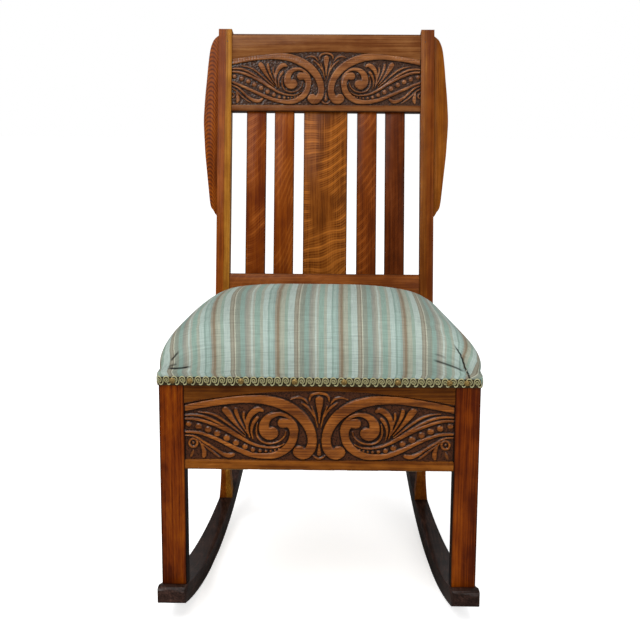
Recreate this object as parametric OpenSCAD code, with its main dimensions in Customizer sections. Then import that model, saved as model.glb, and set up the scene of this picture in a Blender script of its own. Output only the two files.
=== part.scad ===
// Armless oak rocking chair with a sprung upholstered seat, on two bow runners.
// Millimetres. The chair faces -Y, Z is up, and Z = 0 is the floor.
// Working places are measured from the front faces of the front legs. home() then
// moves every piece so that the origin is on the floor under the middle of the chair.

/* [Seat frame] */
// Width over the two front legs
seat_front_w = 510; // [470:1:560]
// Width over the two back posts
seat_back_w = 416; // [380:1:440]
// Front face of the front legs to front face of the back posts
seat_depth = 435; // [410:1:470]
// Height of the seat rails' tops above the floor
rail_top_z = 416; // [396:1:440]
// Depth of the seat rails, top to bottom
rail_h = 157; // [140:1:170]
// Thickness of the seat rails
rail_t = 22; // [18:0.5:24]
// Side of the square front legs
leg_w = 40; // [36:0.5:44]

/* [Runners] */
// Radius of the sole that the chair rocks on
rock_r = 1100; // [900:5:1400]
// Depth of a runner, top to bottom
runner_h = 30; // [26:0.5:34]
// How far the runner stands proud of the front leg's outer face
runner_proud = 4; // [0:0.5:8]
// How far the rounded nose reaches in front of the leg
nose_reach = 22; // [16:0.5:34]
// How far the tail reaches behind the back post's foot
tail_reach = 245; // [180:1:300]
// Front face of the legs to the point that the chair balances on
rest_y = 267; // [240:1:300]
// Length of the worn flat at the balance point
rest_flat = 84; // [40:1:110]
// Radius of the nose's corners, seen from above
nose_round = 8; // [2:0.5:12]

/* [Back posts] */
// Width of a back post, seen from the front
post_w = 25.5; // [22:0.5:30]
// Depth of a back post, front to back
post_d = 36; // [30:0.5:44]
// Rake of the back from upright, in degrees
back_rake = 13; // [8:0.5:18]
// Length of the raked part of a post
back_len = 528.5; // [480:0.5:600]
// Radius of the bend above the seat rails, at the front face
knee_r = 150; // [90:1:250]
// How far the foot stands back of the post's seat joint
foot_back = 38; // [20:1:60]
// How much the outer side of the back leg is drawn in
waist_out = 7; // [3:0.5:8]
// How much the inner side of the back leg is drawn in
waist_in = 3; // [1:0.5:5]

/* [Back panel] */
// Distance from the post's top down to the crest rail
crest_drop = 9; // [4:0.5:20]
// Depth of the crest rail, top to bottom
crest_h = 150; // [110:0.5:170]
// Thickness of the crest rail and the lower rail
crest_t = 22; // [18:0.5:26]
// How far the rails lie behind the posts' front faces
crest_set = 2; // [0:0.5:5]
// Height of the lower rail's bottom up the rake
lower_rail_up = 12; // [6:0.5:20]
// Depth of the lower rail, top to bottom
lower_rail_h = 44; // [34:0.5:60]
// Width of the four plain slats
slat_w = 38; // [30:0.5:44]
// Width of the centre splat
splat_w = 84; // [70:0.5:92]
// Thickness of slats and splat
slat_t = 9; // [6:0.5:12]

/* [Wings] */
// Width of a wing at its widest
wing_w = 27.5; // [20:0.5:36]
// Length of a wing along the post
wing_h = 349; // [300:1:380]
// Distance from the post's top down to the wing's top
wing_drop = 11; // [6:0.5:20]
// Thickness of a wing
wing_t = 16; // [10:0.5:22]
// How far a wing lies behind the post's front face
wing_set = 6; // [2:0.5:12]

/* [Carved fields] */
// Depth of the sunk ground of the carving
ground_deep = 3.5; // [2:0.25:6]
// Plain band under the crest rail's field
crest_band = 12; // [8:0.5:18]
// Plain board over the crest rail's field, at the centre
crest_board = 33.5; // [28:0.5:46]
// Rise of the crest field's arched top
crest_rise = 16; // [6:0.5:20]
// Plain band under the apron's field
apron_band = 15; // [10:0.5:22]
// Plain board over the apron's field, at the centre
apron_board = 26.5; // [22:0.5:44]
// Rise of the apron field's arched top
apron_rise = 21.5; // [8:0.5:26]

/* [Joinery] */
// Thickness of the rails' tenons
tenon_t = 10; // [8:0.5:12]
// Length of the rails' tenons
tenon_l = 17; // [12:0.5:18]
// Shoulder above and below a rail's tenon
tenon_shoulder = 10; // [6:0.5:14]
// Diameter of the round tenons in the runners
peg_d = 14; // [10:0.5:16]
// Length of the round tenons in the runners
peg_l = 14; // [10:0.5:17]
// Depth that slat ends enter the rails
slat_in = 8; // [5:0.5:12]
// Clearance round tenons, pegs and screws
fit = 0.15; // [0.1:0.05:0.3]
// Depth of the corner blocks, top to bottom
block_h = 45; // [30:1:60]
// Length of a corner block along each rail
block_leg = 50; // [40:1:56]
// Diameter of the block screws' shanks
screw_d = 4; // [3:0.25:5]
// Length of the block screws
screw_l = 24; // [20:1:25]
// Diameter of the block screws' heads
screw_head_d = 8; // [6:0.5:10]

/* [Sprung seat] */
// Height of the crown over the rails' tops
crown_h = 99.5; // [80:0.5:115]
// Thickness of the striped cover
cover_t = 1.5; // [1:0.1:2.5]
// How far the cover comes down over the rails' faces
cover_skirt = 18; // [14:0.5:24]
// Thickness of the hessian spring deck
deck_t = 1.5; // [1:0.1:2.5]
// Width of the webbing
web_w = 50; // [40:1:56]
// Thickness of the webbing
web_t = 1.5; // [1:0.1:2.5]
// Room between the outer springs and the side rails
spring_side_room = 4.3; // [2:0.1:8]
// Room between the outer springs and the front and back rails
spring_end_room = 17.5; // [6:0.5:24]
// Outer diameter of a spring's end turns
spring_d = 84; // [60:1:88]
// Outer diameter of a spring at its waist
spring_waist_d = 54; // [40:1:60]
// Diameter of the spring wire
wire_d = 3.6; // [2.6:0.2:4]

/* [Trim] */
// Height of the scroll braid
gimp_h = 15; // [10:0.5:18]
// Thickness of the scroll braid
gimp_t = 2.5; // [1.5:0.25:4]
// Diameter of the gimp nails' heads
nail_head_d = 9.5; // [7:0.5:13]
// Rise of the gimp nails' heads
nail_rise = 2.6; // [1.8:0.2:4]
// Diameter of the nails' shanks
nail_d = 1.6; // [1.2:0.1:2]
// Length of the gimp nails' shanks
nail_l = 14; // [10:0.5:16]
// Diameter of the webbing tacks' heads
tack_head_d = 7; // [5:0.5:9]
// Length of the webbing tacks' shanks
tack_l = 11; // [8:0.5:14]
// Diameter of the crest rail's brads
brad_d = 2.4; // [1.8:0.1:3]

/* [Hidden] */
$fn = 96;
// Sides of the large circles that sawn curves follow
sawn_sides = 1440;
// Overrun of the cuts past a face
over = 1;
oak = "#9c5a24";
dark_oak = "#3a2117";

// Places along the runners
front_half = seat_front_w / 2;
back_half = seat_back_w / 2;
post_in = back_half - post_w;
leg_in = front_half - leg_w;
rail_low_z = rail_top_z - rail_h;
rock_z = sqrt(rock_r * rock_r - rest_flat * rest_flat / 4);
top_r = rock_r - runner_h;
mid_r = rock_r - runner_h / 2;
foot_y = seat_depth + foot_back;
nose_mid_y = runner_h / 2 - nose_reach;
tail_mid_y = foot_y + tail_reach - runner_h / 2;
home_y = (foot_y + tail_reach - nose_reach) / 2;
function arc_z(y, r) = rock_z - sqrt(r * r - (rest_y - y) * (rest_y - y));
function runner_in(y) = leg_in + (post_in - leg_in) * y / foot_y;
function runner_out(y) =
  front_half + runner_proud + (back_half - front_half - runner_proud) * y / foot_y;

// Places along the back: the bend starts at knee_z and the rake at rake_y, rake_z
knee_z = rail_top_z + deck_t * 2;
rake_y = seat_depth + knee_r * (1 - cos(back_rake));
rake_z = knee_z + knee_r * sin(back_rake);
// The bend is cut a little past the rake, so that the two overlap
knee_turn = back_rake * 1.01;
foot_z = arc_z(foot_y, top_r);
foot_drop = rail_low_z - foot_z;
splay_r = (foot_back * foot_back + foot_drop * foot_drop) / (2 * foot_back);
crest_low = back_len - crest_drop - crest_h;
lower_top = lower_rail_up + lower_rail_h;
slat_len = crest_low - lower_top;

// The free width of each side of the panel is shared out among its three gaps,
// from the splat outward: the rest of it lies between the outer slat and the post
slat_gap_shares = [0.2868, 0.248];
slat_free = post_in - splat_w / 2 - 2 * slat_w;
inner_slat_x = splat_w / 2 + slat_free * slat_gap_shares[0] + slat_w / 2;
outer_slat_x = inner_slat_x + slat_w + slat_free * slat_gap_shares[1];

// The side rails run from the front leg's outer corner to the post's outer corner
side_run = seat_depth - leg_w;
side_in = front_half - back_half;
side_angle = atan(side_in / side_run);
side_len = sqrt(side_run * side_run + side_in * side_in);
shoulder_slant = rail_t * tan(side_angle);
function side_out(y) = front_half - side_in * (max(y, leg_w) - leg_w) / side_run;
function side_inner(y) = side_out(y) - rail_t / cos(side_angle);
back_rail_y = seat_depth + post_d - rail_t;

module home() {
  translate([0, -home_y, 0]) children();
}

module mirrored(side) {
  if (side < 0) mirror([1, 0, 0]) children();
  else children();
}

// Extrudes an outline of depth and height across X, from x0 to x1
module across(x0, x1) {
  translate([x0, 0, 0]) rotate([90, 0, 90]) linear_extrude(x1 - x0) children();
}

// Puts children on the raked plane: X across, Y up the rake, Z out of its front
module on_back() {
  translate([0, rake_y, rake_z]) rotate([90 - back_rake, 0, 0]) children();
}

// Puts children on a side rail: X along it to the back, Y into the rail, Z up
module on_side() {
  translate([front_half, leg_w, 0]) rotate([0, 0, 90 + side_angle]) children();
}

// Runners
module big_circle(r) {
  circle(r, $fn = sawn_sides);
}

module runner_wedge() {
  // Drawn past the sole by this share of the radius
  reach_k = 1.4;
  polygon([
    [rest_y, rock_z],
    [rest_y + reach_k * (nose_mid_y - rest_y), rock_z + reach_k * (arc_z(nose_mid_y, mid_r) - rock_z)],
    [rest_y + reach_k * (tail_mid_y - rest_y), rock_z + reach_k * (arc_z(tail_mid_y, mid_r) - rock_z)]
  ]);
}

module runner_side_outline() {
  intersection() {
    union() {
      intersection() {
        runner_wedge();
        difference() {
          translate([rest_y, rock_z]) big_circle(rock_r);
          translate([rest_y, rock_z]) big_circle(top_r);
        }
      }
      translate([nose_mid_y, arc_z(nose_mid_y, mid_r)]) circle(runner_h / 2);
      translate([tail_mid_y, arc_z(tail_mid_y, mid_r)]) circle(runner_h / 2);
    }
    translate([-nose_reach - over, 0]) square([foot_y + tail_reach + nose_reach + 2 * over, rock_z]);
  }
}

module runner_plan_outline() {
  y0 = -nose_reach;
  y1 = foot_y + tail_reach;
  difference() {
    polygon([
      [runner_in(y0), y0], [runner_out(y0), y0], [runner_out(y1), y1], [runner_in(y1), y1]
    ]);
    for (corner = [[runner_in(y0), 0], [runner_out(y0), 1]])
      translate([corner[0], y0]) mirror([corner[1], 0]) difference() {
        translate([-over, -over]) square(nose_round + over);
        translate([nose_round, nose_round]) circle(nose_round);
      }
  }
}

module runner_pegs(grow) {
  for (spot = peg_spots())
    translate([spot[0], spot[1], spot[2] - peg_l - grow])
      cylinder(d = peg_d + 2 * grow, h = rail_low_z - spot[2]);
}

// Middle of each round tenon: X, Y and the height of its shoulder's lowest edge
function peg_spots() = [
  [front_half - leg_w / 2, leg_w / 2, arc_z(leg_w / 2, top_r)],
  [back_half - post_w / 2, foot_y + post_d / 2, arc_z(foot_y + post_d / 2, top_r)]
];

module runner(side) {
  color(dark_oak) home() mirrored(side) difference() {
    intersection() {
      across(0, front_half * 2) runner_side_outline();
      linear_extrude(rock_z) runner_plan_outline();
    }
    runner_pegs(fit);
  }
}

// The space above the runners' tops, that legs and posts are cut to
module above_runner(x0, x1) {
  across(x0, x1) translate([rest_y, rock_z]) big_circle(top_r);
}

// Front legs, each with a round tenon and two mortises
module front_leg(side) {
  color(oak) home() mirrored(side) difference() {
    union() {
      intersection() {
        translate([leg_in, 0, 0]) cube([leg_w, leg_w, rail_top_z]);
        above_runner(leg_in - over, front_half + over);
      }
      translate([front_half - leg_w / 2, leg_w / 2, arc_z(leg_w / 2, top_r) - peg_l])
        cylinder(d = peg_d, h = peg_l * 2);
    }
    apron_tenons(fit);
    on_side() side_tenon(-tenon_l, fit);
    on_side() side_tenon(-tenon_l + shoulder_slant, fit);
  }
}

// Back posts: outline of depth and height
module post_outline() {
  // Raked upright
  translate([rake_y, rake_z]) rotate(-back_rake) square([post_d, back_len]);
  // Bend above the seat
  translate([seat_depth + knee_r, knee_z]) intersection() {
    difference() {
      circle(knee_r, $fn = sawn_sides);
      circle(knee_r - post_d, $fn = sawn_sides);
    }
    polygon([[0, 0], [-2 * knee_r, 0], [-2 * knee_r * cos(knee_turn), 2 * knee_r * sin(knee_turn)]]);
  }
  // Straight part at the seat joints
  translate([seat_depth, rail_low_z]) square([post_d, knee_z - rail_low_z]);
  // Splayed back leg
  intersection() {
    translate([seat_depth + splay_r, rail_low_z]) difference() {
      big_circle(splay_r);
      big_circle(splay_r - post_d);
    }
    translate([seat_depth - over, 0]) square([foot_back * 2 + post_d + over, rail_low_z]);
    translate([rest_y, rock_z]) big_circle(top_r);
  }
}

// Cuts that draw the back leg in, seen from the front
module leg_waist() {
  half = foot_drop / 2;
  for (cut = [[1, waist_out, back_half], [-1, waist_in, post_in]]) {
    r = (half * half + cut[1] * cut[1]) / (2 * cut[1]);
    translate([cut[2] + cut[0] * (r - cut[1]), seat_depth - over, foot_z + half])
      rotate([-90, 0, 0]) cylinder(r = r, h = foot_back * 2 + post_d, $fn = sawn_sides);
  }
}

module back_post(side) {
  foot_mid = foot_y + post_d / 2;
  color(oak) home() mirrored(side) difference() {
    union() {
      difference() {
        across(post_in, back_half) post_outline();
        leg_waist();
      }
      translate([back_half - post_w / 2, foot_mid, arc_z(foot_mid, top_r) - peg_l])
        cylinder(d = peg_d, h = peg_l * 2);
    }
    on_side() side_tenon(side_len, fit);
    back_rail_tenons(fit);
    on_back() back_panel_tenons(fit);
  }
}

// Wings: shares of the wing's width out from the post, and of its length from its foot
wing_shares = [
  [0, 0], [0.1, 0.004], [0.2, 0.017], [0.29, 0.03], [0.42, 0.044], [0.53, 0.09], [0.68, 0.2],
  [0.86, 0.33], [0.96, 0.45], [1, 0.525], [0.965, 0.6], [0.9, 0.68], [0.82, 0.75],
  [0.75, 0.82], [0.685, 0.87], [0.6, 0.92], [0.48, 0.953], [0.3, 0.98], [0, 1]
];
wing_steps = 3;

// Point on a smooth curve through p[1] and p[2]
function through(p, t) = 0.5 * (
  2 * p[1] + (p[2] - p[0]) * t
  + (2 * p[0] - 5 * p[1] + 4 * p[2] - p[3]) * t * t
  + (3 * p[1] - p[0] - 3 * p[2] + p[3]) * t * t * t
);
function at_end(list, i) = list[min(max(i, 0), len(list) - 1)];
function smooth_line(list, steps) = [
  for (i = [0:len(list) - 2], j = [0:steps - 1])
    through([for (k = [-1:2]) at_end(list, i + k)], j / steps),
  list[len(list) - 1]
];

module post_wing(side) {
  color(oak) home() mirrored(side) on_back()
    translate([back_half, back_len - wing_drop - wing_h, -wing_set - wing_t]) linear_extrude(wing_t)
      polygon([for (p = smooth_line(wing_shares, wing_steps)) [max(p[0], 0) * wing_w, p[1] * wing_h]]);
}

// An arched field: a box with its top cut by a large circle
module arched_field(half, low, top, rise, deep) {
  r = (half * half + rise * rise) / (2 * rise);
  linear_extrude(deep) intersection() {
    translate([-half, low]) square([2 * half, top - low]);
    translate([0, top - r]) big_circle(r);
  }
}

// Seat rails
module apron_tenons(grow) {
  for (side = [-1, 1])
    mirrored(side) translate([
      leg_in - over, (rail_t - tenon_t) / 2 - grow, rail_low_z + tenon_shoulder - grow
    ]) cube([
      tenon_l + over + grow, tenon_t + 2 * grow, rail_h - 2 * tenon_shoulder + 2 * grow
    ]);
}

module front_apron() {
  color(oak) home() difference() {
    union() {
      translate([-leg_in, 0, rail_low_z]) cube([2 * leg_in, rail_t, rail_h]);
      apron_tenons(0);
    }
    translate([0, ground_deep, 0]) rotate([90, 0, 0]) arched_field(
      leg_in, rail_low_z + apron_band, rail_top_z - apron_board, apron_rise, ground_deep + over
    );
    for (side = [-1, 1])
      mirrored(side) block_screw_places() block_screw(fit, screw_l);
  }
}

module side_tenon(start, grow) {
  translate([start - over - grow, (rail_t - tenon_t) / 2 - grow, rail_low_z + tenon_shoulder - grow])
    cube([tenon_l + 2 * over + 2 * grow, tenon_t + 2 * grow, rail_h - 2 * tenon_shoulder + 2 * grow]);
}

module side_rail(side) {
  color(oak) home() mirrored(side) difference() {
    union() {
      intersection() {
        on_side() translate([-rail_t, 0, rail_low_z]) cube([side_len + 2 * rail_t, rail_t, rail_h]);
        translate([0, leg_w, 0]) cube([seat_front_w, side_run, rail_top_z + over]);
      }
      on_side() side_tenon(-tenon_l + over, 0);
      on_side() side_tenon(side_len, 0);
    }
    block_screw_places() block_screw(fit, screw_l);
  }
}

module back_rail_tenons(grow) {
  for (side = [-1, 1])
    mirrored(side) translate([
      post_in - over, back_rail_y + (rail_t - tenon_t) / 2 - grow + tenon_t / 4,
      rail_low_z + tenon_shoulder - grow
    ]) cube([
      tenon_l + over + grow, tenon_t + 2 * grow, rail_h - 2 * tenon_shoulder + 2 * grow
    ]);
}

module back_seat_rail() {
  color(oak) home() difference() {
    union() {
      translate([-post_in, back_rail_y, rail_low_z]) cube([2 * post_in, rail_t, rail_h]);
      back_rail_tenons(0);
    }
    for (side = [-1, 1])
      mirrored(side) block_screw_places() block_screw(fit, screw_l);
  }
}

// Corner blocks: outlines seen from above, for the right side
block_z = rail_low_z + (rail_h - block_h) / 2;
function block_outline(front) = front
  ? [
      [leg_in - block_leg, rail_t], [leg_in, rail_t], [leg_in, leg_w],
      [side_inner(leg_w), leg_w], [side_inner(leg_w + block_leg), leg_w + block_leg]
    ]
  : [
      [post_in - block_leg, back_rail_y], [post_in, back_rail_y], [post_in, seat_depth],
      [side_inner(seat_depth), seat_depth],
      [side_inner(seat_depth - block_leg), seat_depth - block_leg]
    ];

// Point on a block's long inner face, by its share of that face
function block_face(front, share) =
  let (o = block_outline(front)) o[0] + (o[4] - o[0]) * share;
screw_shares = [0.23, 0.77];
screw_head_t = screw_head_d * 0.32;
screw_sink = screw_head_t * 1.5;

module block_screw(grow, out) {
  translate([0, 0, screw_sink]) cylinder(d = screw_d + 2 * grow, h = screw_l + grow);
  translate([0, 0, screw_sink - screw_head_t - out])
    cylinder(d = screw_head_d + 2 * grow, h = screw_head_t + out);
}

module block_screw_places() {
  for (front = [true, false], i = [0, 1]) {
    p = block_face(front, screw_shares[i]);
    translate([p[0], p[1], block_z + block_h / 2])
      rotate(i == 1 ? [0, 90, side_angle] : front ? [90, 0, 0] : [-90, 0, 0]) children();
  }
}

module corner_block(side, front) {
  color(oak) home() mirrored(side) difference() {
    translate([0, 0, block_z]) linear_extrude(block_h) polygon(block_outline(front));
    block_screw_places() block_screw(fit, screw_l);
  }
}

module block_screws() {
  color("#8a8578") home() for (side = [-1, 1])
    mirrored(side) block_screw_places() block_screw(0, 0);
}

// Back panel
module back_panel_tenons(grow) {
  for (side = [-1, 1], rail = [[crest_low, crest_h], [lower_rail_up, lower_rail_h]])
    mirrored(side) translate([
      post_in - over, rail[0] + tenon_shoulder - grow,
      -crest_set - (crest_t + tenon_t) / 2 - grow
    ]) cube([
      tenon_l + over + grow, rail[1] - 2 * tenon_shoulder + 2 * grow, tenon_t + 2 * grow
    ]);
}

// Middle and width of each slat
slat_places = [
  [-outer_slat_x, slat_w], [-inner_slat_x, slat_w], [0, splat_w],
  [inner_slat_x, slat_w], [outer_slat_x, slat_w]
];

module slat_shape(i, grow) {
  translate([
    slat_places[i][0] - slat_places[i][1] / 2 - grow, lower_top - slat_in - grow,
    -crest_set - (crest_t + slat_t) / 2 - grow
  ]) cube([slat_places[i][1] + 2 * grow, slat_len + 2 * slat_in + 2 * grow, slat_t + 2 * grow]);
}

module panel_rail(low, h) {
  union() {
    translate([-post_in, low, -crest_set - crest_t]) cube([2 * post_in, h, crest_t]);
    intersection() {
      back_panel_tenons(0);
      translate([-seat_back_w, low, -crest_set - crest_t]) cube([2 * seat_back_w, h, crest_t]);
    }
  }
}

module crest_rail() {
  color(oak) home() on_back() difference() {
    panel_rail(crest_low, crest_h);
    translate([0, 0, -crest_set - ground_deep]) arched_field(
      post_in, crest_low + crest_band, crest_low + crest_h - crest_board, crest_rise, ground_deep + over
    );
    for (i = [0:4]) slat_shape(i, fit);
  }
}

module lower_back_rail() {
  color(oak) home() on_back() difference() {
    panel_rail(lower_rail_up, lower_rail_h);
    for (i = [0:4]) slat_shape(i, fit);
  }
}

module slat(i) {
  color(oak) home() on_back() slat_shape(i, 0);
}

module crest_brads() {
  color("#4a4038") home() on_back() for (side = [-1, 1])
    mirrored(side) translate([
      post_in + tenon_l / 2, crest_low + crest_h - tenon_shoulder * 1.5, -post_d * 0.6
    ]) cylinder(d = brad_d, h = post_d * 0.6);
}

// Webbing: the crosswise strips lie on the rails, the lengthwise ones pass under them
web_middle_y = (rail_t + back_rail_y) / 2;
web_pitch_y = (back_rail_y - rail_t - spring_d - 2 * spring_end_room) / 4;
spring_last_y = back_rail_y - spring_end_room;
web_pitch_x = (side_inner(spring_last_y) - spring_side_room - spring_d / 2) / 2;
web_inset = rail_t * 0.2;
web_ramp = rail_t * 0.6;
web_columns = [-2:2];

module webbing_lengthwise() {
  y0 = web_inset;
  y1 = seat_depth + post_d - web_inset;
  first = web_middle_y - 2 * web_pitch_y - web_w / 2;
  last = web_middle_y + 2 * web_pitch_y + web_w / 2;
  top = rail_low_z;
  color("#a8875a") home() for (i = web_columns)
    across(i * web_pitch_x - web_w / 2, i * web_pitch_x + web_w / 2) polygon([
      [y0, top], [first - web_ramp, top], [first, top - web_t], [last, top - web_t],
      [last + web_ramp, top], [y1, top], [y1, top - web_t], [last + web_ramp, top - web_t],
      [last, top - 2 * web_t], [first, top - 2 * web_t], [first - web_ramp, top - web_t],
      [y0, top - web_t]
    ]);
}

function web_y(i) = web_middle_y + i * web_pitch_y;
function web_reach(i) = side_out(web_y(i) + web_w / 2) - web_inset;

module webbing_crosswise() {
  color("#a8875a") home() for (i = web_columns)
    translate([-web_reach(i), web_y(i) - web_w / 2, rail_low_z - web_t])
      cube([2 * web_reach(i), web_w, web_t]);
}

module tack() {
  head_t = tack_head_d * 0.15;
  translate([0, 0, -head_t]) cylinder(d = tack_head_d, h = head_t);
  cylinder(d = nail_d, h = tack_l);
}

// Three tacks at each end of each strip
module webbing_tacks() {
  in_y = web_inset + tack_head_d;
  color("#3b3632") home() translate([0, 0, rail_low_z - web_t]) for (i = web_columns, k = [-1:1]) {
    for (y = [in_y, seat_depth + post_d - in_y])
      translate([i * web_pitch_x + k * web_w * 0.3, y, 0]) tack();
    for (side = [-1, 1])
      translate([side * (web_reach(i) - tack_head_d), web_y(i) + k * web_w * 0.3, 0]) tack();
  }
}

// Waisted coil springs, one on every second crossing
spring_turns = 5.5;
turn_rings = 8;
wire_sides = 6;
ease = 0.3;
spring_h = rail_h - 2 * ease - wire_d;
// Share of the even climb that the end turns give up
flat_share = 0.8;

function spring_climb(f) = f - flat_share * sin(360 * f) / (2 * PI);
function spring_r(f) =
  (spring_waist_d + (spring_d - spring_waist_d) * (2 * f - 1) * (2 * f - 1) - wire_d) / 2;
function spring_point(f) = [
  spring_r(f) * cos(360 * spring_turns * f),
  spring_r(f) * sin(360 * spring_turns * f),
  rail_low_z + ease + wire_d / 2 + spring_h * spring_climb(f)
];
function unit(v) = v / norm(v);
function spring_line() =
  let (
    n = round(spring_turns * turn_rings),
    p = [for (i = [0:n]) spring_point(i / n)],
    a = unit(cross([p[0][0], p[0][1], 0], [0, 0, 1])),
    b = unit(cross([0, 0, 1], [p[n][0], p[n][1], 0]))
  )
  concat([p[0] + a * wire_d], p, [p[n] + b * wire_d]);

// A closed tube of triangles along a line of points
module tube(line, d, sides) {
  n = len(line);
  rings = [
    for (i = [0:n - 1])
      let (
        t = unit(line[min(i + 1, n - 1)] - line[max(i - 1, 0)]),
        u = unit(cross(t, [0, 0, 1])),
        v = cross(u, t)
      )
      [for (k = [0:sides - 1]) line[i] + d / 2 * (u * cos(360 * k / sides) + v * sin(360 * k / sides))]
  ];
  points = [for (ring = rings, p = ring) p];
  walls = [
    for (i = [0:n - 2], k = [0:sides - 1])
      let (a = i * sides + k, b = i * sides + (k + 1) % sides, c = a + sides, e = b + sides)
      each [[a, b, e], [a, e, c]]
  ];
  ends = [
    for (k = [1:sides - 2])
      each [[0, k + 1, k], [(n - 1) * sides, (n - 1) * sides + k, (n - 1) * sides + k + 1]]
  ];
  polyhedron(points, concat(walls, ends));
}

module seat_springs() {
  line = spring_line();
  gaps = [
    for (i = [0:len(line) - 2], k = [i + turn_rings / 2 + 1:1:len(line) - 1]) norm(line[i] - line[k])
  ];
  echo(least_gap_in_a_spring = min(gaps) - wire_d);
  color("#6d6a63") home() for (i = [-2, 0, 2], j = [-2, 0, 2])
    translate([i * web_pitch_x, web_y(j), 0]) tube(line, wire_d, wire_sides);
}

// The seat's outline over the rails: d is the distance out from their faces.
// It steps in round the back posts and passes over the back rail between them.
skin_out = cover_t + ease;
// Room for wadding between the cover and what it is drawn over
wadding = 2.5;
pad_deep = cover_t + wadding;
front_shares = [0, 0.2, 0.4, 0.6, 0.8, 0.93, 1];
side_shares = [0, 0.2, 0.4, 0.6, 0.8, 1];
back_shares = [1, 0.66, 0.33, 0];
function post_gap(d) = skin_out - d + ease;
function side_end(d) = seat_depth - post_gap(d);
function post_x(d) = post_in - post_gap(d);
// Half of the outline, each point with the height of the skirt's edge there: the
// skirt stops over the rails beside each post, and hangs down everywhere else
function rim_half(d) = concat(
  [for (f = front_shares) [f * (front_half + d), -d, skirt_low_z]],
  [
    for (f = side_shares)
      let (y = leg_w + f * (side_end(d) - leg_w)) [side_out(y) + d, y, skirt_low_z]
  ],
  [
    [side_out(side_end(d)) + ease / 2, side_end(d), skirt_top_z],
    [post_x(d), side_end(d), skirt_top_z],
    [post_x(d), seat_depth + post_d + ease / 2, skirt_top_z]
  ],
  [for (f = back_shares) [f * post_x(d), seat_depth + post_d + d, skirt_low_z]]
);
function whole(h) =
  let (n = len(h))
  concat(h, [for (i = [n - 2:-1:1]) [-h[i][0], h[i][1], h[i][2]]]);
function rim(d) = whole(rim_half(d));
function deck_half(d) = [
  [0, d], [front_half - d, d], [side_out(leg_w) - d, leg_w], [side_out(side_end(0)) - d, side_end(0)],
  [post_x(0), side_end(0)], [post_x(0), seat_depth + post_d - d], [0, seat_depth + post_d - d]
];

// The crown: s runs from 0 at its middle to 1 at its edge, d is the distance in
crown_round = [2.63, 2.59];
corner_round = [3.7, 14];
crown_lean = crown_h * 0.13;
crown_bulge = 0.063;
edge_z = rail_top_z + deck_t + ease + cover_t;
skirt_low_z = rail_top_z - cover_skirt;
skirt_top_z = rail_top_z + ease;
crown_rise = rail_top_z + crown_h - edge_z;
crown_half_y = (seat_depth - ease) / 2;
crown_mid_y = crown_half_y - skin_out;
function crown_half_x(v) =
  (front_half + back_half) / 2 + skin_out - (front_half - back_half) / 2 * v;
function crown_up(s) = pow(max(0, 1 - pow(s, crown_round[0])), 1 / crown_round[1]);
function crown_angle(p) =
  let (v = (p[1] - crown_mid_y) / crown_half_y) atan2(v, p[0] / crown_half_x(v));
function crown_point(s, th, d) =
  let (
    h = crown_up(s),
    n = corner_round[0] + (corner_round[1] - corner_round[0]) * pow(s, 6),
    k = s * pow(pow(abs(cos(th)), n) + pow(abs(sin(th)), n), -1 / n),
    u = k * cos(th),
    v = k * sin(th)
  )
  [
    u * (crown_half_x(v) - d) * (1 + crown_bulge * h * (1 - h)),
    crown_mid_y + v * (crown_half_y - d) - crown_lean * h,
    edge_z + (crown_rise - d) * h
  ];
function crown_row(s, d) = [for (p = rim(skin_out)) crown_point(s, crown_angle(p), d)];
function at_height(row, z) = [for (p = row) [p[0], p[1], z]];

// Closed skin of triangles over rows of points, with a middle point at each end
module rows_solid(first, rows, last) {
  n = len(rows[0]);
  m = len(rows);
  points = concat([first], [for (row = rows, p = row) p], [last]);
  caps = [
    for (k = [0:n - 1])
      each [[0, 1 + (k + 1) % n, 1 + k], [m * n + 1, 1 + (m - 1) * n + k, 1 + (m - 1) * n + (k + 1) % n]]
  ];
  walls = [
    for (i = [0:m - 2], k = [0:n - 1])
      let (a = 1 + i * n + k, b = 1 + i * n + (k + 1) % n, c = a + n, e = b + n)
      each [[a, b, e], [a, e, c]]
  ];
  polyhedron(points, concat(caps, walls));
}

cover_shares = [0.15, 0.32, 0.48, 0.62, 0.74, 0.84, 0.915, 0.965, 0.993];

module seat_cover() {
  out_rows = [for (s = cover_shares) crown_row(s, 0)];
  in_rows = [for (i = [len(cover_shares) - 1:-1:0]) crown_row(cover_shares[i], cover_t)];
  rows = concat(
    out_rows,
    [at_height(rim(skin_out), edge_z), rim(skin_out)],
    [rim(ease), at_height(rim(ease), edge_z - cover_t)],
    in_rows
  );
  color("#a9b3a4") home() rows_solid(crown_point(0, 0, 0), rows, crown_point(0, 0, cover_t));
}

// The stuffing sinks inside the stitched edge roll
pad_share = 0.8;
pad_row_shares = [0.22, 0.45, 0.66, 0.85, 1];
roll_gap_share = 0.006;

module seat_stuffing() {
  top = [for (k = pad_row_shares) crown_row(pad_share * k, pad_deep)];
  foot = at_height(top[4], rail_top_z + deck_t + ease);
  color("#cbbf9f") home() rows_solid(
    crown_point(0, 0, pad_deep), concat(top, [foot]),
    [0, crown_mid_y, rail_top_z + deck_t + ease]
  );
}

roll_shares = [pad_share + roll_gap_share, 0.87, 0.93, 0.975];
roll_foot_share = 0.985;

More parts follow.
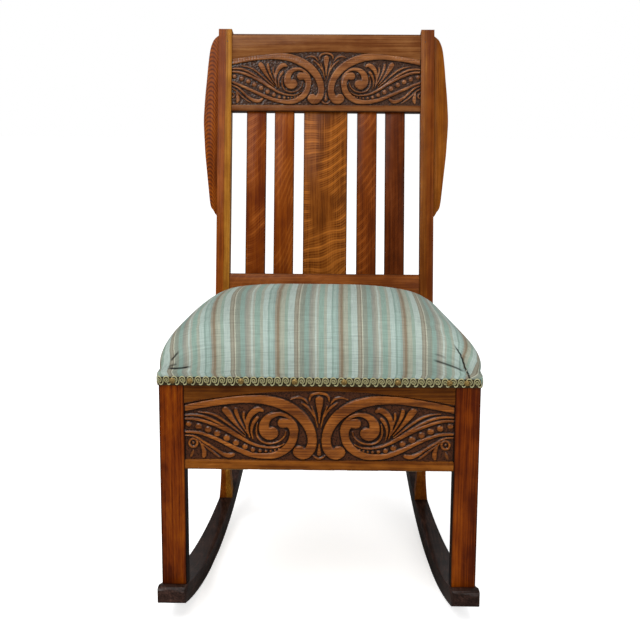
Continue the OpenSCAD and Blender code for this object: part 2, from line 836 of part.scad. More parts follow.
module edge_roll() {
  tops = [for (s = roll_shares) crown_row(s, pad_deep)];
  base_z = rail_top_z + deck_t;
  foot = at_height(crown_row(roll_foot_share, pad_deep), base_z);
  rows = concat([at_height(tops[0], base_z)], tops, [foot]);
  n = len(rows[0]);
  m = len(rows);
  faces = [
    for (i = [0:m - 1], k = [0:n - 1])
      let (
        a = i * n + k, b = i * n + (k + 1) % n,
        c = ((i + 1) % m) * n + k, e = ((i + 1) % m) * n + (k + 1) % n
      )
      each [[a, b, e], [a, e, c]]
  ];
  color("#b39a6a") home() polyhedron([for (row = rows, p = row) p], faces);
}

module spring_deck() {
  color("#9c7f52") home() translate([0, 0, rail_top_z]) linear_extrude(deck_t)
    polygon([for (p = whole(deck_half(2 * deck_t))) [p[0], p[1]]]);
}

// Scroll braid along the front and sides, and one piece between the back posts
gimp_in = skin_out + ease;
gimp_out = gimp_in + gimp_t;
gimp_z = rail_top_z - cover_skirt;

module gimp_braid() {
  end_y = seat_depth - ease;
  function half_line(d) = [[front_half + d, -d], [front_half + d, leg_w], [side_out(end_y) + d, end_y]];
  function whole_line(d) =
    let (h = half_line(d))
    concat([for (i = [2:-1:0]) [-h[i][0], h[i][1]]], h);
  inner = whole_line(gimp_in);
  color("#8d9370") home() translate([0, 0, gimp_z]) {
    linear_extrude(gimp_h) polygon(concat(whole_line(gimp_out), [for (i = [5:-1:0]) inner[i]]));
    translate([-post_in + ease, seat_depth + post_d + gimp_in, 0])
      cube([2 * (post_in - ease), gimp_t, gimp_h]);
  }
}

module gimp_nail() {
  r = (nail_head_d * nail_head_d / 4 + nail_rise * nail_rise) / (2 * nail_rise);
  intersection() {
    translate([0, 0, nail_rise - r]) sphere(r);
    cylinder(d = nail_head_d + over, h = nail_rise + over);
  }
  translate([0, 0, -nail_l]) cylinder(d = nail_d, h = nail_l);
}

front_nail_shares = [0.153, 0.486, 0.804, 0.912];
side_nail_shares = [0.02, 0.2, 0.39, 0.58, 0.77, 0.95];
back_nail_shares = [0.28, 0.82];

module gimp_nails() {
  color("#8a6a42") home() translate([0, 0, gimp_z + gimp_h / 2]) for (side = [-1, 1])
    mirrored(side) {
      for (f = front_nail_shares)
        translate([f * front_half, -gimp_out, 0]) rotate([90, 0, 0]) gimp_nail();
      for (f = side_nail_shares)
        on_side() translate([f * side_len, -gimp_out, 0]) rotate([90, 0, 0]) gimp_nail();
      for (f = back_nail_shares)
        translate([f * post_in, seat_depth + post_d + gimp_out, 0]) rotate([-90, 0, 0]) gimp_nail();
    }
}

runner(-1);  // runner_left
runner(1);  // runner_right
front_leg(-1);  // front_leg_left
front_leg(1);  // front_leg_right
back_post(-1);  // back_post_left
back_post(1);  // back_post_right
post_wing(-1);  // post_wing_left
post_wing(1);  // post_wing_right
front_apron();
side_rail(-1);  // side_rail_left
side_rail(1);  // side_rail_right
back_seat_rail();
corner_block(-1, true);  // corner_block_front_left
corner_block(1, true);  // corner_block_front_right
corner_block(-1, false);  // corner_block_back_left
corner_block(1, false);  // corner_block_back_right
block_screws();
crest_rail();
lower_back_rail();
slat(0);  // slat_outer_left
slat(1);  // slat_inner_left
slat(2);  // centre_splat
slat(3);  // slat_inner_right
slat(4);  // slat_outer_right
crest_brads();
webbing_lengthwise();
webbing_crosswise();
webbing_tacks();
seat_springs();
spring_deck();
edge_roll();
seat_stuffing();
seat_cover();
gimp_braid();
gimp_nails();
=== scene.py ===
import bmesh
import bpy
import math
import numpy as np
from mathutils import Matrix, Vector


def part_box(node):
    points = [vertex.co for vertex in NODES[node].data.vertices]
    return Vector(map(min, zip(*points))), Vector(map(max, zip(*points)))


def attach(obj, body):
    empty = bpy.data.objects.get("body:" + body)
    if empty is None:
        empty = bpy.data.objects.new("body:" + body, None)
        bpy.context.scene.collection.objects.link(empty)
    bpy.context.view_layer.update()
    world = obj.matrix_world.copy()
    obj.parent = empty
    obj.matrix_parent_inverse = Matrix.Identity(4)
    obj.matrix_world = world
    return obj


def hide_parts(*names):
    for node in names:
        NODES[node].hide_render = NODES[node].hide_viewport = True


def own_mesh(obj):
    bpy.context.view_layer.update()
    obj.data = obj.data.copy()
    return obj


bl_info = {
    "name": "Carved oak rocker",
    "version": (1, 0, 0),
    "blender": (4, 5, 0),
    "location": "3D View > Sidebar > Rocker",
    "description": "Dresses an armless carved oak rocking chair with a striped, sprung seat",
    "category": "Object",
}

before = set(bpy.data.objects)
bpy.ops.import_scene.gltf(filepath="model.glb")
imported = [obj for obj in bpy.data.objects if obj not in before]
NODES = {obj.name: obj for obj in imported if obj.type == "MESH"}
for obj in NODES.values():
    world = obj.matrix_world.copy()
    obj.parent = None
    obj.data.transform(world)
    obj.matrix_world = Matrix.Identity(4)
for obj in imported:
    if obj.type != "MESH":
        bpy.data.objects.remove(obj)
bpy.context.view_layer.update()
MM = 0.001


# ---------------------------------------------------------------- places from the frame
def corners(node):
    """The low and high corner of a node's box."""
    low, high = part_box(node)
    return np.array(low), np.array(high)


LEG_LOW, LEG_HIGH = corners("front_leg_right")
POST_LOW, POST_HIGH = corners("back_post_right")
APRON_LOW, APRON_HIGH = corners("front_apron")
COVER_LOW, COVER_HIGH = corners("seat_cover")
DECK_LOW, DECK_HIGH = corners("spring_deck")

FRONT_HALF = float(LEG_HIGH[0])
LEG_W = float(LEG_HIGH[0] - LEG_LOW[0])
FRONT_Y = float(LEG_LOW[1])
BACK_HALF = float(POST_HIGH[0])
POST_IN = float(POST_LOW[0])
SEAT_DEPTH = 435 * MM
POST_D = 36 * MM
RAIL_TOP = float(APRON_HIGH[2])
RAIL_LOW = float(APRON_LOW[2])
RAKE = math.radians(13)
KNEE_R = 150 * MM
RAKE_Y = FRONT_Y + SEAT_DEPTH + KNEE_R * (1 - math.cos(RAKE))
RAKE_Z = RAIL_TOP + 3 * MM + KNEE_R * math.sin(RAKE)

UP = Vector((0, 0, 1))
ACROSS = Vector((1, 0, 0))
BACKWARD = Vector((0, 1, 0))
UP_RAKE = Vector((0, math.sin(RAKE), math.cos(RAKE)))
OUT_OF_RAKE = Vector((0, -math.cos(RAKE), math.sin(RAKE)))


def side_out(y):
    """Half width over the side rails at y, measured from the legs' front faces."""
    return FRONT_HALF - (FRONT_HALF - BACK_HALF) * (max(y, LEG_W) - LEG_W) / (SEAT_DEPTH - LEG_W)


# ---------------------------------------------------------------- colours and node trees
def colour(code):
    """An sRGB hex value as linear RGBA."""
    parts = [int(code[i:i + 2], 16) / 255 for i in (1, 3, 5)]
    return tuple(c / 12.92 if c <= 0.04045 else ((c + 0.055) / 1.055) ** 2.4 for c in parts) + (1.0,)


class Value:
    """One output of a node. It reckons as a number does, with numbers and other outputs."""

    def __init__(self, node, output=0):
        self.tree = node.id_data
        self.socket = node.outputs[output]

    def math(self, operation, other=0.0):
        return value(self.tree, "ShaderNodeMath", {"operation": operation}, input_0=self, input_1=other)

    def __add__(self, other):
        return self.math("ADD", other)

    def __sub__(self, other):
        return self.math("SUBTRACT", other)

    def __mul__(self, other):
        return self.math("MULTIPLY", other)

    def __truediv__(self, other):
        return self.math("DIVIDE", other)

    def __pow__(self, other):
        return self.math("POWER", other)


def fill(node, **sockets):
    """Sets inputs by name, with _ for a space, or by input_N: to a number, to a hex colour
    or to a Value, which is linked."""
    for name, given in sockets.items():
        socket = node.inputs[int(name[6:]) if name.startswith("input_") else name.replace("_", " ")]
        if isinstance(given, Value):
            node.id_data.links.new(given.socket, socket)
        else:
            socket.default_value = colour(given) if isinstance(given, str) else given
    return node


def add(tree, kind, settings=None, **sockets):
    """Adds a node and fills in its properties and inputs."""
    node = tree.nodes.new(kind)
    for name, given in (settings or {}).items():
        setattr(node, name, given)
    return fill(node, **sockets)


def value(tree, kind, settings=None, **sockets):
    """The first output of a new node."""
    return Value(add(tree, kind, settings, **sockets))


def ramp(factor, stops, smooth=True):
    """A colour ramp; stops are (place, hex colour or grey value)."""
    node = add(factor.tree, "ShaderNodeValToRGB", input_0=factor)
    node.color_ramp.interpolation = "EASE" if smooth else "CONSTANT"
    marks = node.color_ramp.elements
    while len(marks) < len(stops):
        marks.new(0.5)
    for mark, (place, tone) in zip(marks, stops):
        mark.position = place
        mark.color = colour(tone) if isinstance(tone, str) else (tone, tone, tone, 1.0)
    return Value(node)


def mixed(factor, a, b, blend="MIX"):
    """One colour mix node."""
    tree = (factor if isinstance(factor, Value) else a).tree
    settings = {"data_type": "RGBA", "blend_type": blend, "clamp_factor": True}
    return Value(add(tree, "ShaderNodeMix", settings, input_0=factor, input_6=a, input_7=b), 2)


def shaded(base, shade):
    """A colour times a grey."""
    return mixed(1.0, base, value(base.tree, "ShaderNodeCombineColor", Red=shade, Green=shade, Blue=shade),
                 "MULTIPLY")


def parts(vector):
    node = add(vector.tree, "ShaderNodeSeparateXYZ", Vector=vector)
    return [Value(node, k) for k in range(3)]


def joined(tree, **axes):
    return value(tree, "ShaderNodeCombineXYZ", **axes)


def ranged(given, low, high, start=0.0, end=1.0):
    """Goes from start to end while the given value goes from low to high."""
    return value(given.tree, "ShaderNodeMapRange", Value=given, From_Min=low, From_Max=high,
                 To_Min=start, To_Max=end)


def wave(given, length):
    """A sine wave of the given value, from -1 to 1."""
    return (given * (2 * math.pi / length)).math("SINE")


def noise(vector, scale, detail=2.0, rough=0.5):
    """Noise of one scale, or of one for each axis."""
    if isinstance(scale, tuple):
        vector = value(vector.tree, "ShaderNodeMapping", Vector=vector, Scale=scale)
        scale = 1.0
    return value(vector.tree, "ShaderNodeTexNoise", Vector=vector, Scale=scale, Detail=detail,
                 Roughness=rough)


def attribute(tree, name, output="Vector"):
    return Value(add(tree, "ShaderNodeAttribute", {"attribute_name": name}), output)


def object_place(tree):
    return Value(add(tree, "ShaderNodeTexCoord"), "Object")


def new_material(name, **constants):
    """A material with one Principled shader; constants are set on its own sockets."""
    material = bpy.data.materials.new(name)
    material.use_nodes = True
    tree = material.node_tree
    tree.nodes.clear()
    shader = add(tree, "ShaderNodeBsdfPrincipled", **constants)
    add(tree, "ShaderNodeOutputMaterial", Surface=Value(shader))
    return material, tree, shader


def bumped(shader, height, distance, strength=1.0):
    """Feeds a height, in shares of distance (metres), to the shader as bump."""
    fill(shader, Normal=value(shader.id_data, "ShaderNodeBump", Strength=strength, Distance=distance,
                              Height=height))


# ---------------------------------------------------------------- the oak
def oak_figure():
    """The figure of an oak board. Its Board vector runs along the grain in X, across the
    face in Y and through the board in Z, in metres."""
    tree = bpy.data.node_groups.new("Oak figure", "ShaderNodeTree")
    for way, kind, names in (
            ("INPUT", "Vector", "Board"), ("INPUT", "Float", "Fleck Slant Rings Cathedral Streak"),
            ("INPUT", "Color", "Light Mid Dark"), ("OUTPUT", "Color", "Color"),
            ("OUTPUT", "Float", "Height Rough")):
        for name in names.split():
            tree.interface.new_socket(name, in_out=way, socket_type="NodeSocket" + kind)
    given = tree.nodes.new("NodeGroupInput")
    place, flecked, slant, ringed, cathedral, streak, light, mid, dark = (Value(given, k) for k in range(9))
    x, y, z = parts(place)
    # Slow bends of the grain, a few mm over a hand's width
    bend = noise(place, (6.0, 18.0, 18.0), 1.0)
    bent = y + bend * 0.012 - 0.006
    # Year rings: straight on a quartered board, nested arches on a flat-sawn one
    chosen = value(tree, "ShaderNodeMix", {"data_type": "FLOAT"}, input_0=cathedral, input_2=bent + z * 0.6,
                   input_3=x * 0.55 + bent * bent * 55.0)
    # Rings about 4 mm apart, a little coarser than life so that they show: thin dark lines,
    # clear on a flat-sawn board and faint on a quartered one
    rings = ((chosen * 1550.0 + bend * 7.0).math("SINE") * 0.5 + 0.5) ** 0.45
    # Fine grain lines and broad colour bands, both drawn out along the board
    fine = noise(place, (9.0, 520.0, 520.0), 3.0, 0.6)
    lines = noise(place, (5.0, 230.0, 230.0), 2.0, 0.6)
    mottle = noise(place, (24.0, 38.0, 38.0), 3.0)
    broad = noise(place, (2.2, 42.0, 42.0))
    tone = ((rings - 0.55) * ringed + fine * 0.7 + lines * 0.6 + mottle * 0.6 - 0.46
            + (broad - 0.5) * streak)
    wood = mixed(ramp(tone, [(0.3, 0.0), (0.62, 1.0)]), dark, mid)
    wood = mixed(ramp(tone, [(0.55, 0.0), (0.95, 1.0)]), wood, light)
    # Pores: short dark dashes along the grain
    pores = ramp(noise(place, (90.0, 1500.0, 1500.0), 1.0), [(0.62, 0.0), (0.72, 1.0)])
    wood = mixed(pores * 0.55, wood, dark)
    # Ray fleck: pale ribbons across the grain that climb towards one side of the board, broad
    # ones with fine ones between them, in patches
    along = x - (y * y * 12.0 + y) * slant + noise(place, (7.0, 11.0, 11.0), 1.0) * 0.06

    def ribbons(gap, thin, high):
        return (wave(along, gap) * 0.5 + 0.5) ** thin * high

    patch = ramp(noise(place, (12.0, 26.0, 20.0), 1.0), [(0.36, 0.0), (0.62, 1.0)])
    broken = noise(place, (120.0, 60.0, 60.0))
    fleck = (ribbons(0.019, 4.0, 0.75) + broken * ribbons(0.0046, 1.5, 1.2)) * patch * flecked
    # A ribbon also shines back more light than the wood about it
    wood = value(tree, "ShaderNodeHueSaturation", Color=mixed(fleck, wood, light), Value=fleck * 0.3 + 0.94)
    fill(tree.nodes.new("NodeGroupOutput"), Color=wood, Height=fine * 0.5 - pores * 0.8,
         Rough=fine * 0.16 + 0.26 - fleck * 0.12)


SHADE_AND_DIRT_RIM = 0.0028    # how far in from a board's arris painted shade in the joints and dirt have darkened it


def oak(name, light, mid, dark, fleck=0.5, slant=0.6, rings=0.1, cathedral=0.0, streak=0.25, coat=0.35,
        relief=None, edge=None, half=0.0):
    """Polished oak. relief names the two colours that a carving's ground and crests take, the first
    also painted as shade in its hollows and down its strokes' sides; edge is (hex colour, place,
    softness) of a second tone over part of the board's width, painted shade; half is half that
    width, towards whose ends the arrises are darkened by painted shade in the joints and by dirt."""
    material, tree, shader = new_material(name, Coat_Weight=coat, Coat_Roughness=0.08 if relief else 0.13,
                                          Specular_IOR_Level=0.05)
    place = attribute(tree, "board")
    group = add(tree, "ShaderNodeGroup", {"node_tree": bpy.data.node_groups["Oak figure"]}, Board=place,
                Fleck=fleck, Slant=slant, Rings=rings, Cathedral=cathedral, Streak=streak, Light=light,
                Mid=mid, Dark=dark)
    wood, height, rough = (Value(group, k) for k in range(3))
    x, y = parts(place)[:2]
    # Painted shade in the joints, with dirt: the board darkens towards both edges of its width
    if half:
        wood = mixed(ranged(y.math("ABSOLUTE"), half - SHADE_AND_DIRT_RIM, half, 0.0, 0.75), wood, "#1c0d06")
    if edge:
        # Painted shade: a darker tone multiplied over part of the board's width
        shade_tint, at, soft = edge
        wander = value(tree, "ShaderNodeTexNoise", {"noise_dimensions": "1D"}, W=x, Scale=9.0)
        side = ranged(wander * 0.003 + y, at - soft, at + soft)
        wood = mixed(side, wood, mixed(1.0, wood, shade_tint, "MULTIPLY"))
    if relief:
        depth = attribute(tree, "relief", "Fac")
        ground = ramp(depth, [(0.08, 1.0), (0.5, 0.0)])
        # Punched ground: a stipple of 1 mm dots, drawn 2.5 mm apart so that it shows
        stipple = value(tree, "ShaderNodeTexVoronoi", Vector=place, Scale=400.0)
        dotted = mixed(ramp(stipple, [(0.15, 0.0), (0.6, 1.0)]), *relief)
        # Each stroke is darker down its rounded sides: painted shade that models its roundness
        wood = mixed(ramp(depth, [(0.4, 0.45), (0.7, 0.0)]), wood, relief[0])
        wood = mixed(ground, wood, dotted)
        # Painted shade in the carving's hollows and at the field's ends
        hollow = attribute(tree, "hollow", "Fac")
        wood = mixed(ramp(hollow, [(0.1, 0.0), (0.75, 1.0)]), wood, relief[0])
        rough = ground * 0.25 + rough
        bumped(shader, stipple * ground + height * 0.35, 0.0005, 0.8)
    else:
        bumped(shader, height, 0.00018, 0.6)
    fill(shader, Base_Color=wood, Roughness=rough)
    return material


def set_attribute(mesh, name, values):
    """Writes a number or a vector for each point."""
    values = np.asarray(values, np.float32)
    kind, field = ("FLOAT_VECTOR", "vector") if values.ndim == 2 else ("FLOAT", "value")
    layer = mesh.attributes.get(name) or mesh.attributes.new(name, kind, "POINT")
    layer.data.foreach_set(field, values.ravel())


def points_of(mesh, what="co"):
    """The mesh's points, or their normals."""
    out = np.empty(len(mesh.vertices) * 3)
    mesh.vertices.foreach_get(what, out)
    return out.reshape(-1, 3)


def lay_grain(mesh, along, across, start, shift):
    """Writes each point's place on the board: along the grain, across the face, through it."""
    a = Vector(along).normalized()
    b = Vector(across)
    b = (b - a * b.dot(a)).normalized()
    basis = np.array([a, b, a.cross(b)])
    p = (points_of(mesh) - np.array(start)) @ basis.T
    p[:, 0] += shift
    set_attribute(mesh, "board", p)


FLAT, SHARP = math.radians(0.6), math.radians(28)


def rounded_copy(node, edge):
    """A copy of a CAD node's mesh with its flat faces joined and its arrises eased."""
    bm = bmesh.new()
    bm.from_mesh(NODES[node].data)
    bmesh.ops.remove_doubles(bm, verts=bm.verts, dist=1e-6)
    bmesh.ops.dissolve_limit(bm, angle_limit=FLAT, verts=bm.verts, edges=bm.edges)
    sharp = [e for e in bm.edges if e.is_manifold and e.calc_face_angle(0) > SHARP
             and e.calc_length() > 1.5 * edge]
    if edge > 0:
        bmesh.ops.bevel(bm, geom=sharp, offset=edge, offset_type="OFFSET", segments=2,
                        profile=0.5, affect="EDGES", clamp_overlap=True)
    bmesh.ops.triangulate(bm, faces=[f for f in bm.faces if len(f.verts) > 4])
    mesh = bpy.data.meshes.new(node)
    bm.to_mesh(mesh)
    bm.free()
    return mesh


def finish_mesh(mesh, angle=32):
    mesh.polygons.foreach_set("use_smooth", np.ones(len(mesh.polygons), bool))
    mesh.set_sharp_from_angle(angle=math.radians(angle))
    mesh.update()


def place(mesh, name, material, body, slot, replaced=()):
    """Links a finished mesh as a piece that rides on a body."""
    mesh.materials.clear()
    mesh.materials.append(material)
    piece = bpy.data.objects.new(name, mesh)
    bpy.context.scene.collection.objects.link(piece)
    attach(piece, body)
    if replaced:
        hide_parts(*replaced)
    return piece


def board(node, along, across, material, shift, edge, slot="quartered_oak"):
    """One wooden piece, rounded at its arrises, with its own stretch of grain."""
    mesh = rounded_copy(node, edge * MM)
    lay_grain(mesh, along, across, sum(corners(node)) / 2, shift)
    finish_mesh(mesh)
    return place(mesh, node + "_board", material, "chair", slot, (node,))


def between(values, axis, times, cyclic=False, smooth=True):
    """Fills in points between rows, on a smooth curve or on straight lines."""
    values = np.moveaxis(values, axis, 0)
    n = len(values)
    if cyclic:
        ends = np.concatenate([values[-1:], values, values[:2]])
    else:
        ends = np.concatenate([2 * values[:1] - values[1:2], values, 2 * values[-1:] - values[-2:-1]])
    out = []
    for i in range(n if cyclic else n - 1):
        p = ends[i:i + 4]
        for t in np.arange(times) / times:
            if smooth:
                out.append(0.5 * (2 * p[1] + (p[2] - p[0]) * t
                                  + (2 * p[0] - 5 * p[1] + 4 * p[2] - p[3]) * t ** 2
                                  + (3 * p[1] - p[0] - 3 * p[2] + p[3]) * t ** 3))
            else:
                out.append(p[1] + (p[2] - p[1]) * t)
    if not cyclic:
        out.append(values[-1])
    return np.moveaxis(np.array(out), 0, axis)


def ring_order(nx, ny=None):
    """The edge cells of a grid, in turn round it."""
    ny = ny or nx
    return ([(i, 0) for i in range(nx)] + [(nx - 1, j) for j in range(1, ny)]
            + [(i, ny - 1) for i in range(nx - 2, -1, -1)] + [(0, j) for j in range(ny - 2, 0, -1)])


def grid_faces(index, inward=False):
    """The quads between a grid of point numbers."""
    a, b, c, d = index[:-1, :-1], index[1:, :-1], index[1:, 1:], index[:-1, 1:]
    quads = np.stack([a, d, c, b] if inward else [a, b, c, d], -1)
    return [tuple(q) for q in quads.reshape(-1, 4).tolist()]


def band_faces(levels, inward=False):
    """The quads between closed rows of point numbers."""
    faces = []
    for up, down in zip(levels[:-1], levels[1:]):
        for a, b, c, d in zip(up, down, down[1:] + down[:1], up[1:] + up[:1]):
            faces.append((a, d, c, b) if inward else (a, b, c, d))
    return faces


def skirted(index, ring, first, inward=False):
    """Faces of a square grid with the skirt's rows hung on its edge, and the rows."""
    count = len(ring)
    levels = [[int(index[cell]) for cell in ring]]
    levels += [list(range(first + r * count, first + (r + 1) * count)) for r in range(len(SKIRT))]
    return grid_faces(index, inward) + band_faces(levels, inward), levels


def bar_faces(rows, first=0):
    """The faces of a bar of rows of four points, closed at both ends."""
    last = first + 4 * (rows - 1)
    faces = [(a + t, a + (t + 1) % 4, a + 4 + (t + 1) % 4, a + 4 + t)
             for a in range(first, last, 4) for t in range(4)]
    return faces + [(first + 3, first + 2, first + 1, first), (last, last + 1, last + 2, last + 3)]


def mesh_from(name, points, faces):
    mesh = bpy.data.meshes.new(name)
    mesh.from_pydata([tuple(p) for p in points], [], faces)
    mesh.validate()
    return mesh


def closed(mesh):
    """Turns long faces into triangles and points all faces outward."""
    bm = bmesh.new()
    bm.from_mesh(mesh)
    bmesh.ops.triangulate(bm, faces=[f for f in bm.faces if len(f.verts) > 4])
    bmesh.ops.recalc_face_normals(bm, faces=bm.faces)
    bm.to_mesh(mesh)
    bm.free()
    return mesh


# ---------------------------------------------------------------- carving
# Both carvings are drawn on a field DRAWN_W wide from the post to the middle and DRAWN_H high
# over its plain band. A stroke is (height share, [(across, up, half width)]).
DRAWN_W, DRAWN_H = 113.6, 61.0
STROKES = [
    # great C-scroll and its curl
    (1.0, [(-2, 49.6, 3.6), (17, 53.8, 3.8), (37, 56.6, 3.9), (53.5, 57.2, 4.0), (70, 55.3, 4.5),
           (85.5, 49.6, 4.8), (97.5, 40.7, 4.7), (104.8, 30.4, 4.3), (107.6, 20.7, 4.0),
           (106.9, 12.5, 4.2), (103.5, 7.4, 4.6), (99.6, 6.2, 5.0), (97.0, 8.0, 5.6)]),
    # upper band of the S-scroll
    (0.95, [(-2, 38.8, 1.4), (9, 38.2, 1.5), (19, 35.2, 1.6), (29, 30.7, 1.6), (39, 25.3, 1.6),
            (47, 20.4, 1.5), (55, 16, 1.4), (63, 12.9, 1.2), (71, 11.7, 1.0), (78, 12.2, 0.8),
            (84, 15.0, 0.5)]),
    # comma of the inner volute
    (1.0, [(94.8, 21, 0.6), (95.2, 28, 0.9), (92.8, 34.5, 1.2), (87.5, 39.6, 1.6), (81, 42.2, 1.9),
           (74.5, 41.2, 2.6), (69.5, 37.5, 3.5), (67.2, 32, 4.3), (68, 26.5, 5.0), (71.5, 23.9, 5.4),
           (74, 25, 5.4)]),
    # ridges that run with the S-scroll
    (0.75, [(-2, 42, 1.1), (8, 42.4, 1.3), (17, 40.4, 1.4), (27, 35.2, 1.3), (37, 28.6, 1.1),
            (46, 22.6, 0.9), (53, 18.2, 0.7)]),
    (0.7, [(12, 45.6, 0.6), (21, 43.8, 1.0), (29, 39.9, 1.2), (37, 33.4, 1.1), (44, 27.4, 0.9),
           (51, 21.5, 0.6)]),
    # fan of leaves
    (0.85, [(51.5, 23.5, 0.5), (46, 30, 1.1), (41, 37, 2.0), (36.8, 44, 3.1), (34.6, 47.2, 3.0)]),
    (0.8, [(53.5, 24, 0.5), (49.2, 31, 0.9), (45.8, 38, 1.4), (43.8, 44, 1.8), (43.4, 47.6, 1.5)]),
    (0.7, [(54.2, 24.5, 0.4), (51.6, 33, 0.8), (49.9, 40, 1.1), (50.2, 44, 1.0)]),
    (0.9, [(55, 21, 0.6), (52.9, 29, 1.2), (53.4, 36, 1.9), (55.6, 41.5, 2.5), (59, 45.2, 2.9),
           (62.8, 46.9, 2.4), (65.6, 45.6, 1.5)]),
    (0.8, [(57.8, 19.5, 0.5), (56.4, 26, 1.0), (57.4, 32, 1.4), (59.6, 36.5, 1.7), (61.4, 38.8, 1.5)]),
    # ridges under the volute
    (0.7, [(61.6, 34, 0.5), (60.6, 28, 0.8), (61.4, 22, 0.9), (65, 17.3, 0.9), (71.5, 15.3, 0.9),
           (79, 17.1, 0.8), (84.2, 21.8, 0.7), (85.6, 26.5, 0.5)]),
    # curls and bud in the upper middle
    (0.7, [(89.5, 55.4, 0.5), (94, 57, 1.0), (98.6, 56.6, 1.2), (102, 54.2, 1.0), (103.8, 51.4, 0.6)]),
    (0.7, [(98.8, 52, 0.8), (103.4, 48.4, 1.2), (107, 44, 1.0), (109.8, 39, 0.6)]),
    (0.7, [(107, 49, 0.6), (110, 40, 0.8), (112.2, 30, 0.5)]),
    (0.9, [(113.6, 34, 0.5), (113.6, 43, 1.5), (113.6, 50, 2.9), (113.6, 54.6, 3.5)]),
    (0.85, [(105.4, 53.6, 0.6), (105.8, 57, 1.1), (108.6, 59.7, 1.3), (113.6, 60.8, 1.3)]),
    # bud in the lower middle
    (0.75, [(113.6, 15, 0.5), (113.6, 9.4, 1.5), (113.6, 6.4, 2.0)]),
    (0.7, [(108.6, 4.8, 0.7), (111, 2.8, 1.0), (113.6, 2.0, 1.0)]),
]
# The lower band of the S-scroll, from the point where the two carvings run alike
BAND_END = [(57, 5.0, 2.4), (67, 4.0, 2.7), (76, 5.0, 3.1), (84, 9.2, 3.5), (89.8, 15.5, 3.7),
            (92, 23, 3.5), (91, 29.8, 3.5), (87.5, 33.8, 4.0), (83.0, 34.0, 4.6)]
# What each carving has to itself: the band's outer part, and leaves in the lower corner
CREST_STROKES = [
    (0.95, [(-2, 27.6, 1.5), (8, 24.2, 1.6), (17, 20.2, 1.7), (27, 16, 1.8), (37, 11.7, 2.0),
            (47, 7.6, 2.2)] + BAND_END),
    (0.85, [(-2, 23.6, 0.7), (6, 21.0, 1.1), (13, 15.6, 1.3), (20, 9.5, 1.6), (27, 5.6, 2.1),
            (33, 4.8, 2.2), (37.2, 7.2, 1.5)]),
    (0.7, [(-2, 20.4, 0.6), (5, 16.8, 0.9), (11, 11.4, 1.0), (17, 6.6, 0.9), (23, 3.0, 0.6)]),
    (0.75, [(6, 14.2, 0.8), (7.4, 10.5, 2.0), (7.8, 6.8, 2.4), (7.2, 3.4, 1.5)]),
    (0.6, [(-1, 14.5, 0.8), (2.2, 13.4, 1.1), (3.2, 10.4, 1.1), (1.2, 8.4, 1.0), (-1, 9.2, 0.8)]),
]
APRON_STROKES = [
    (0.95, [(-2, 25.8, 1.3), (6, 25.6, 1.4), (13, 24.6, 1.5), (19, 22.6, 1.6), (25.5, 19.8, 1.7),
            (31.5, 16.8, 1.7), (37.6, 13.5, 1.9), (44, 10.2, 2.1), (50, 7.6, 2.3)] + BAND_END),
    (0.85, [(-2, 22.6, 0.7), (6.9, 21.9, 0.9), (11.8, 19.6, 1.1), (16.3, 16.3, 1.2), (20.8, 13.4, 1.3),
            (25.3, 10.2, 1.3), (29.4, 7.3, 1.5), (33.5, 5.0, 1.9), (37.6, 4.2, 2.1), (41, 5.0, 1.7)]),
    (0.6, [(14.7, 14.9, 0.6), (19, 11.2, 1.0), (22.9, 8.0, 1.2), (26.1, 5.0, 1.2), (29.4, 2.6, 0.8)]),
    # rosette with its hooked leaf
    (0.7, [(7.3, 19.4, 1.1), (10.1, 17.8, 1.2), (10.6, 14.7, 1.2), (8.6, 11.9, 1.2), (5.3, 12.1, 1.1),
           (3.8, 15, 1.0), (4.9, 18, 1.0), (7.3, 19.4, 1.1)]),
    (0.7, [(11.9, 17.8, 0.5), (14, 14.5, 1.0), (15.4, 11, 1.6), (16.3, 7.6, 2.1), (16.3, 4.6, 2.1),
           (15.8, 2.6, 1.2)]),
    (0.5, [(7.4, 8.6, 0.6), (6.4, 6.0, 1.3), (5.2, 3.2, 1.1)]),
    (0.55, [(7.0, 16.0, 0.9), (7.3, 15.2, 1.0)]),
]
# Beads between the two bands of the S-scroll: across, up, radius
BEADS = [(3.5, 33.2, 2.7), (12, 30.9, 3.0), (20, 27.7, 3.1), (27.5, 24.1, 3.1), (35.5, 19.9, 3.1),
         (43.4, 15.7, 2.9), (51, 12.1, 2.6), (57.6, 9.6, 2.2), (63.6, 8.6, 1.7), (68.6, 8.4, 1.3),
         (72.6, 8.7, 1.1), (76.2, 9.5, 0.95), (79.4, 10.6, 0.8)]


def blurred(grid, reach):
    """The mean over a square of cells, twice."""
    for axis in (0, 1, 0, 1):
        pad = [(reach + 1, reach) if a == axis else (0, 0) for a in (0, 1)]
        total = np.cumsum(np.pad(grid, pad, mode="edge"), axis=axis)
        n = grid.shape[axis]
        late = np.take(total, np.arange(2 * reach + 1, n + 2 * reach + 1), axis=axis)
        early = np.take(total, np.arange(0, n), axis=axis)
        grid = (late - early) / (2 * reach + 1)
    return grid


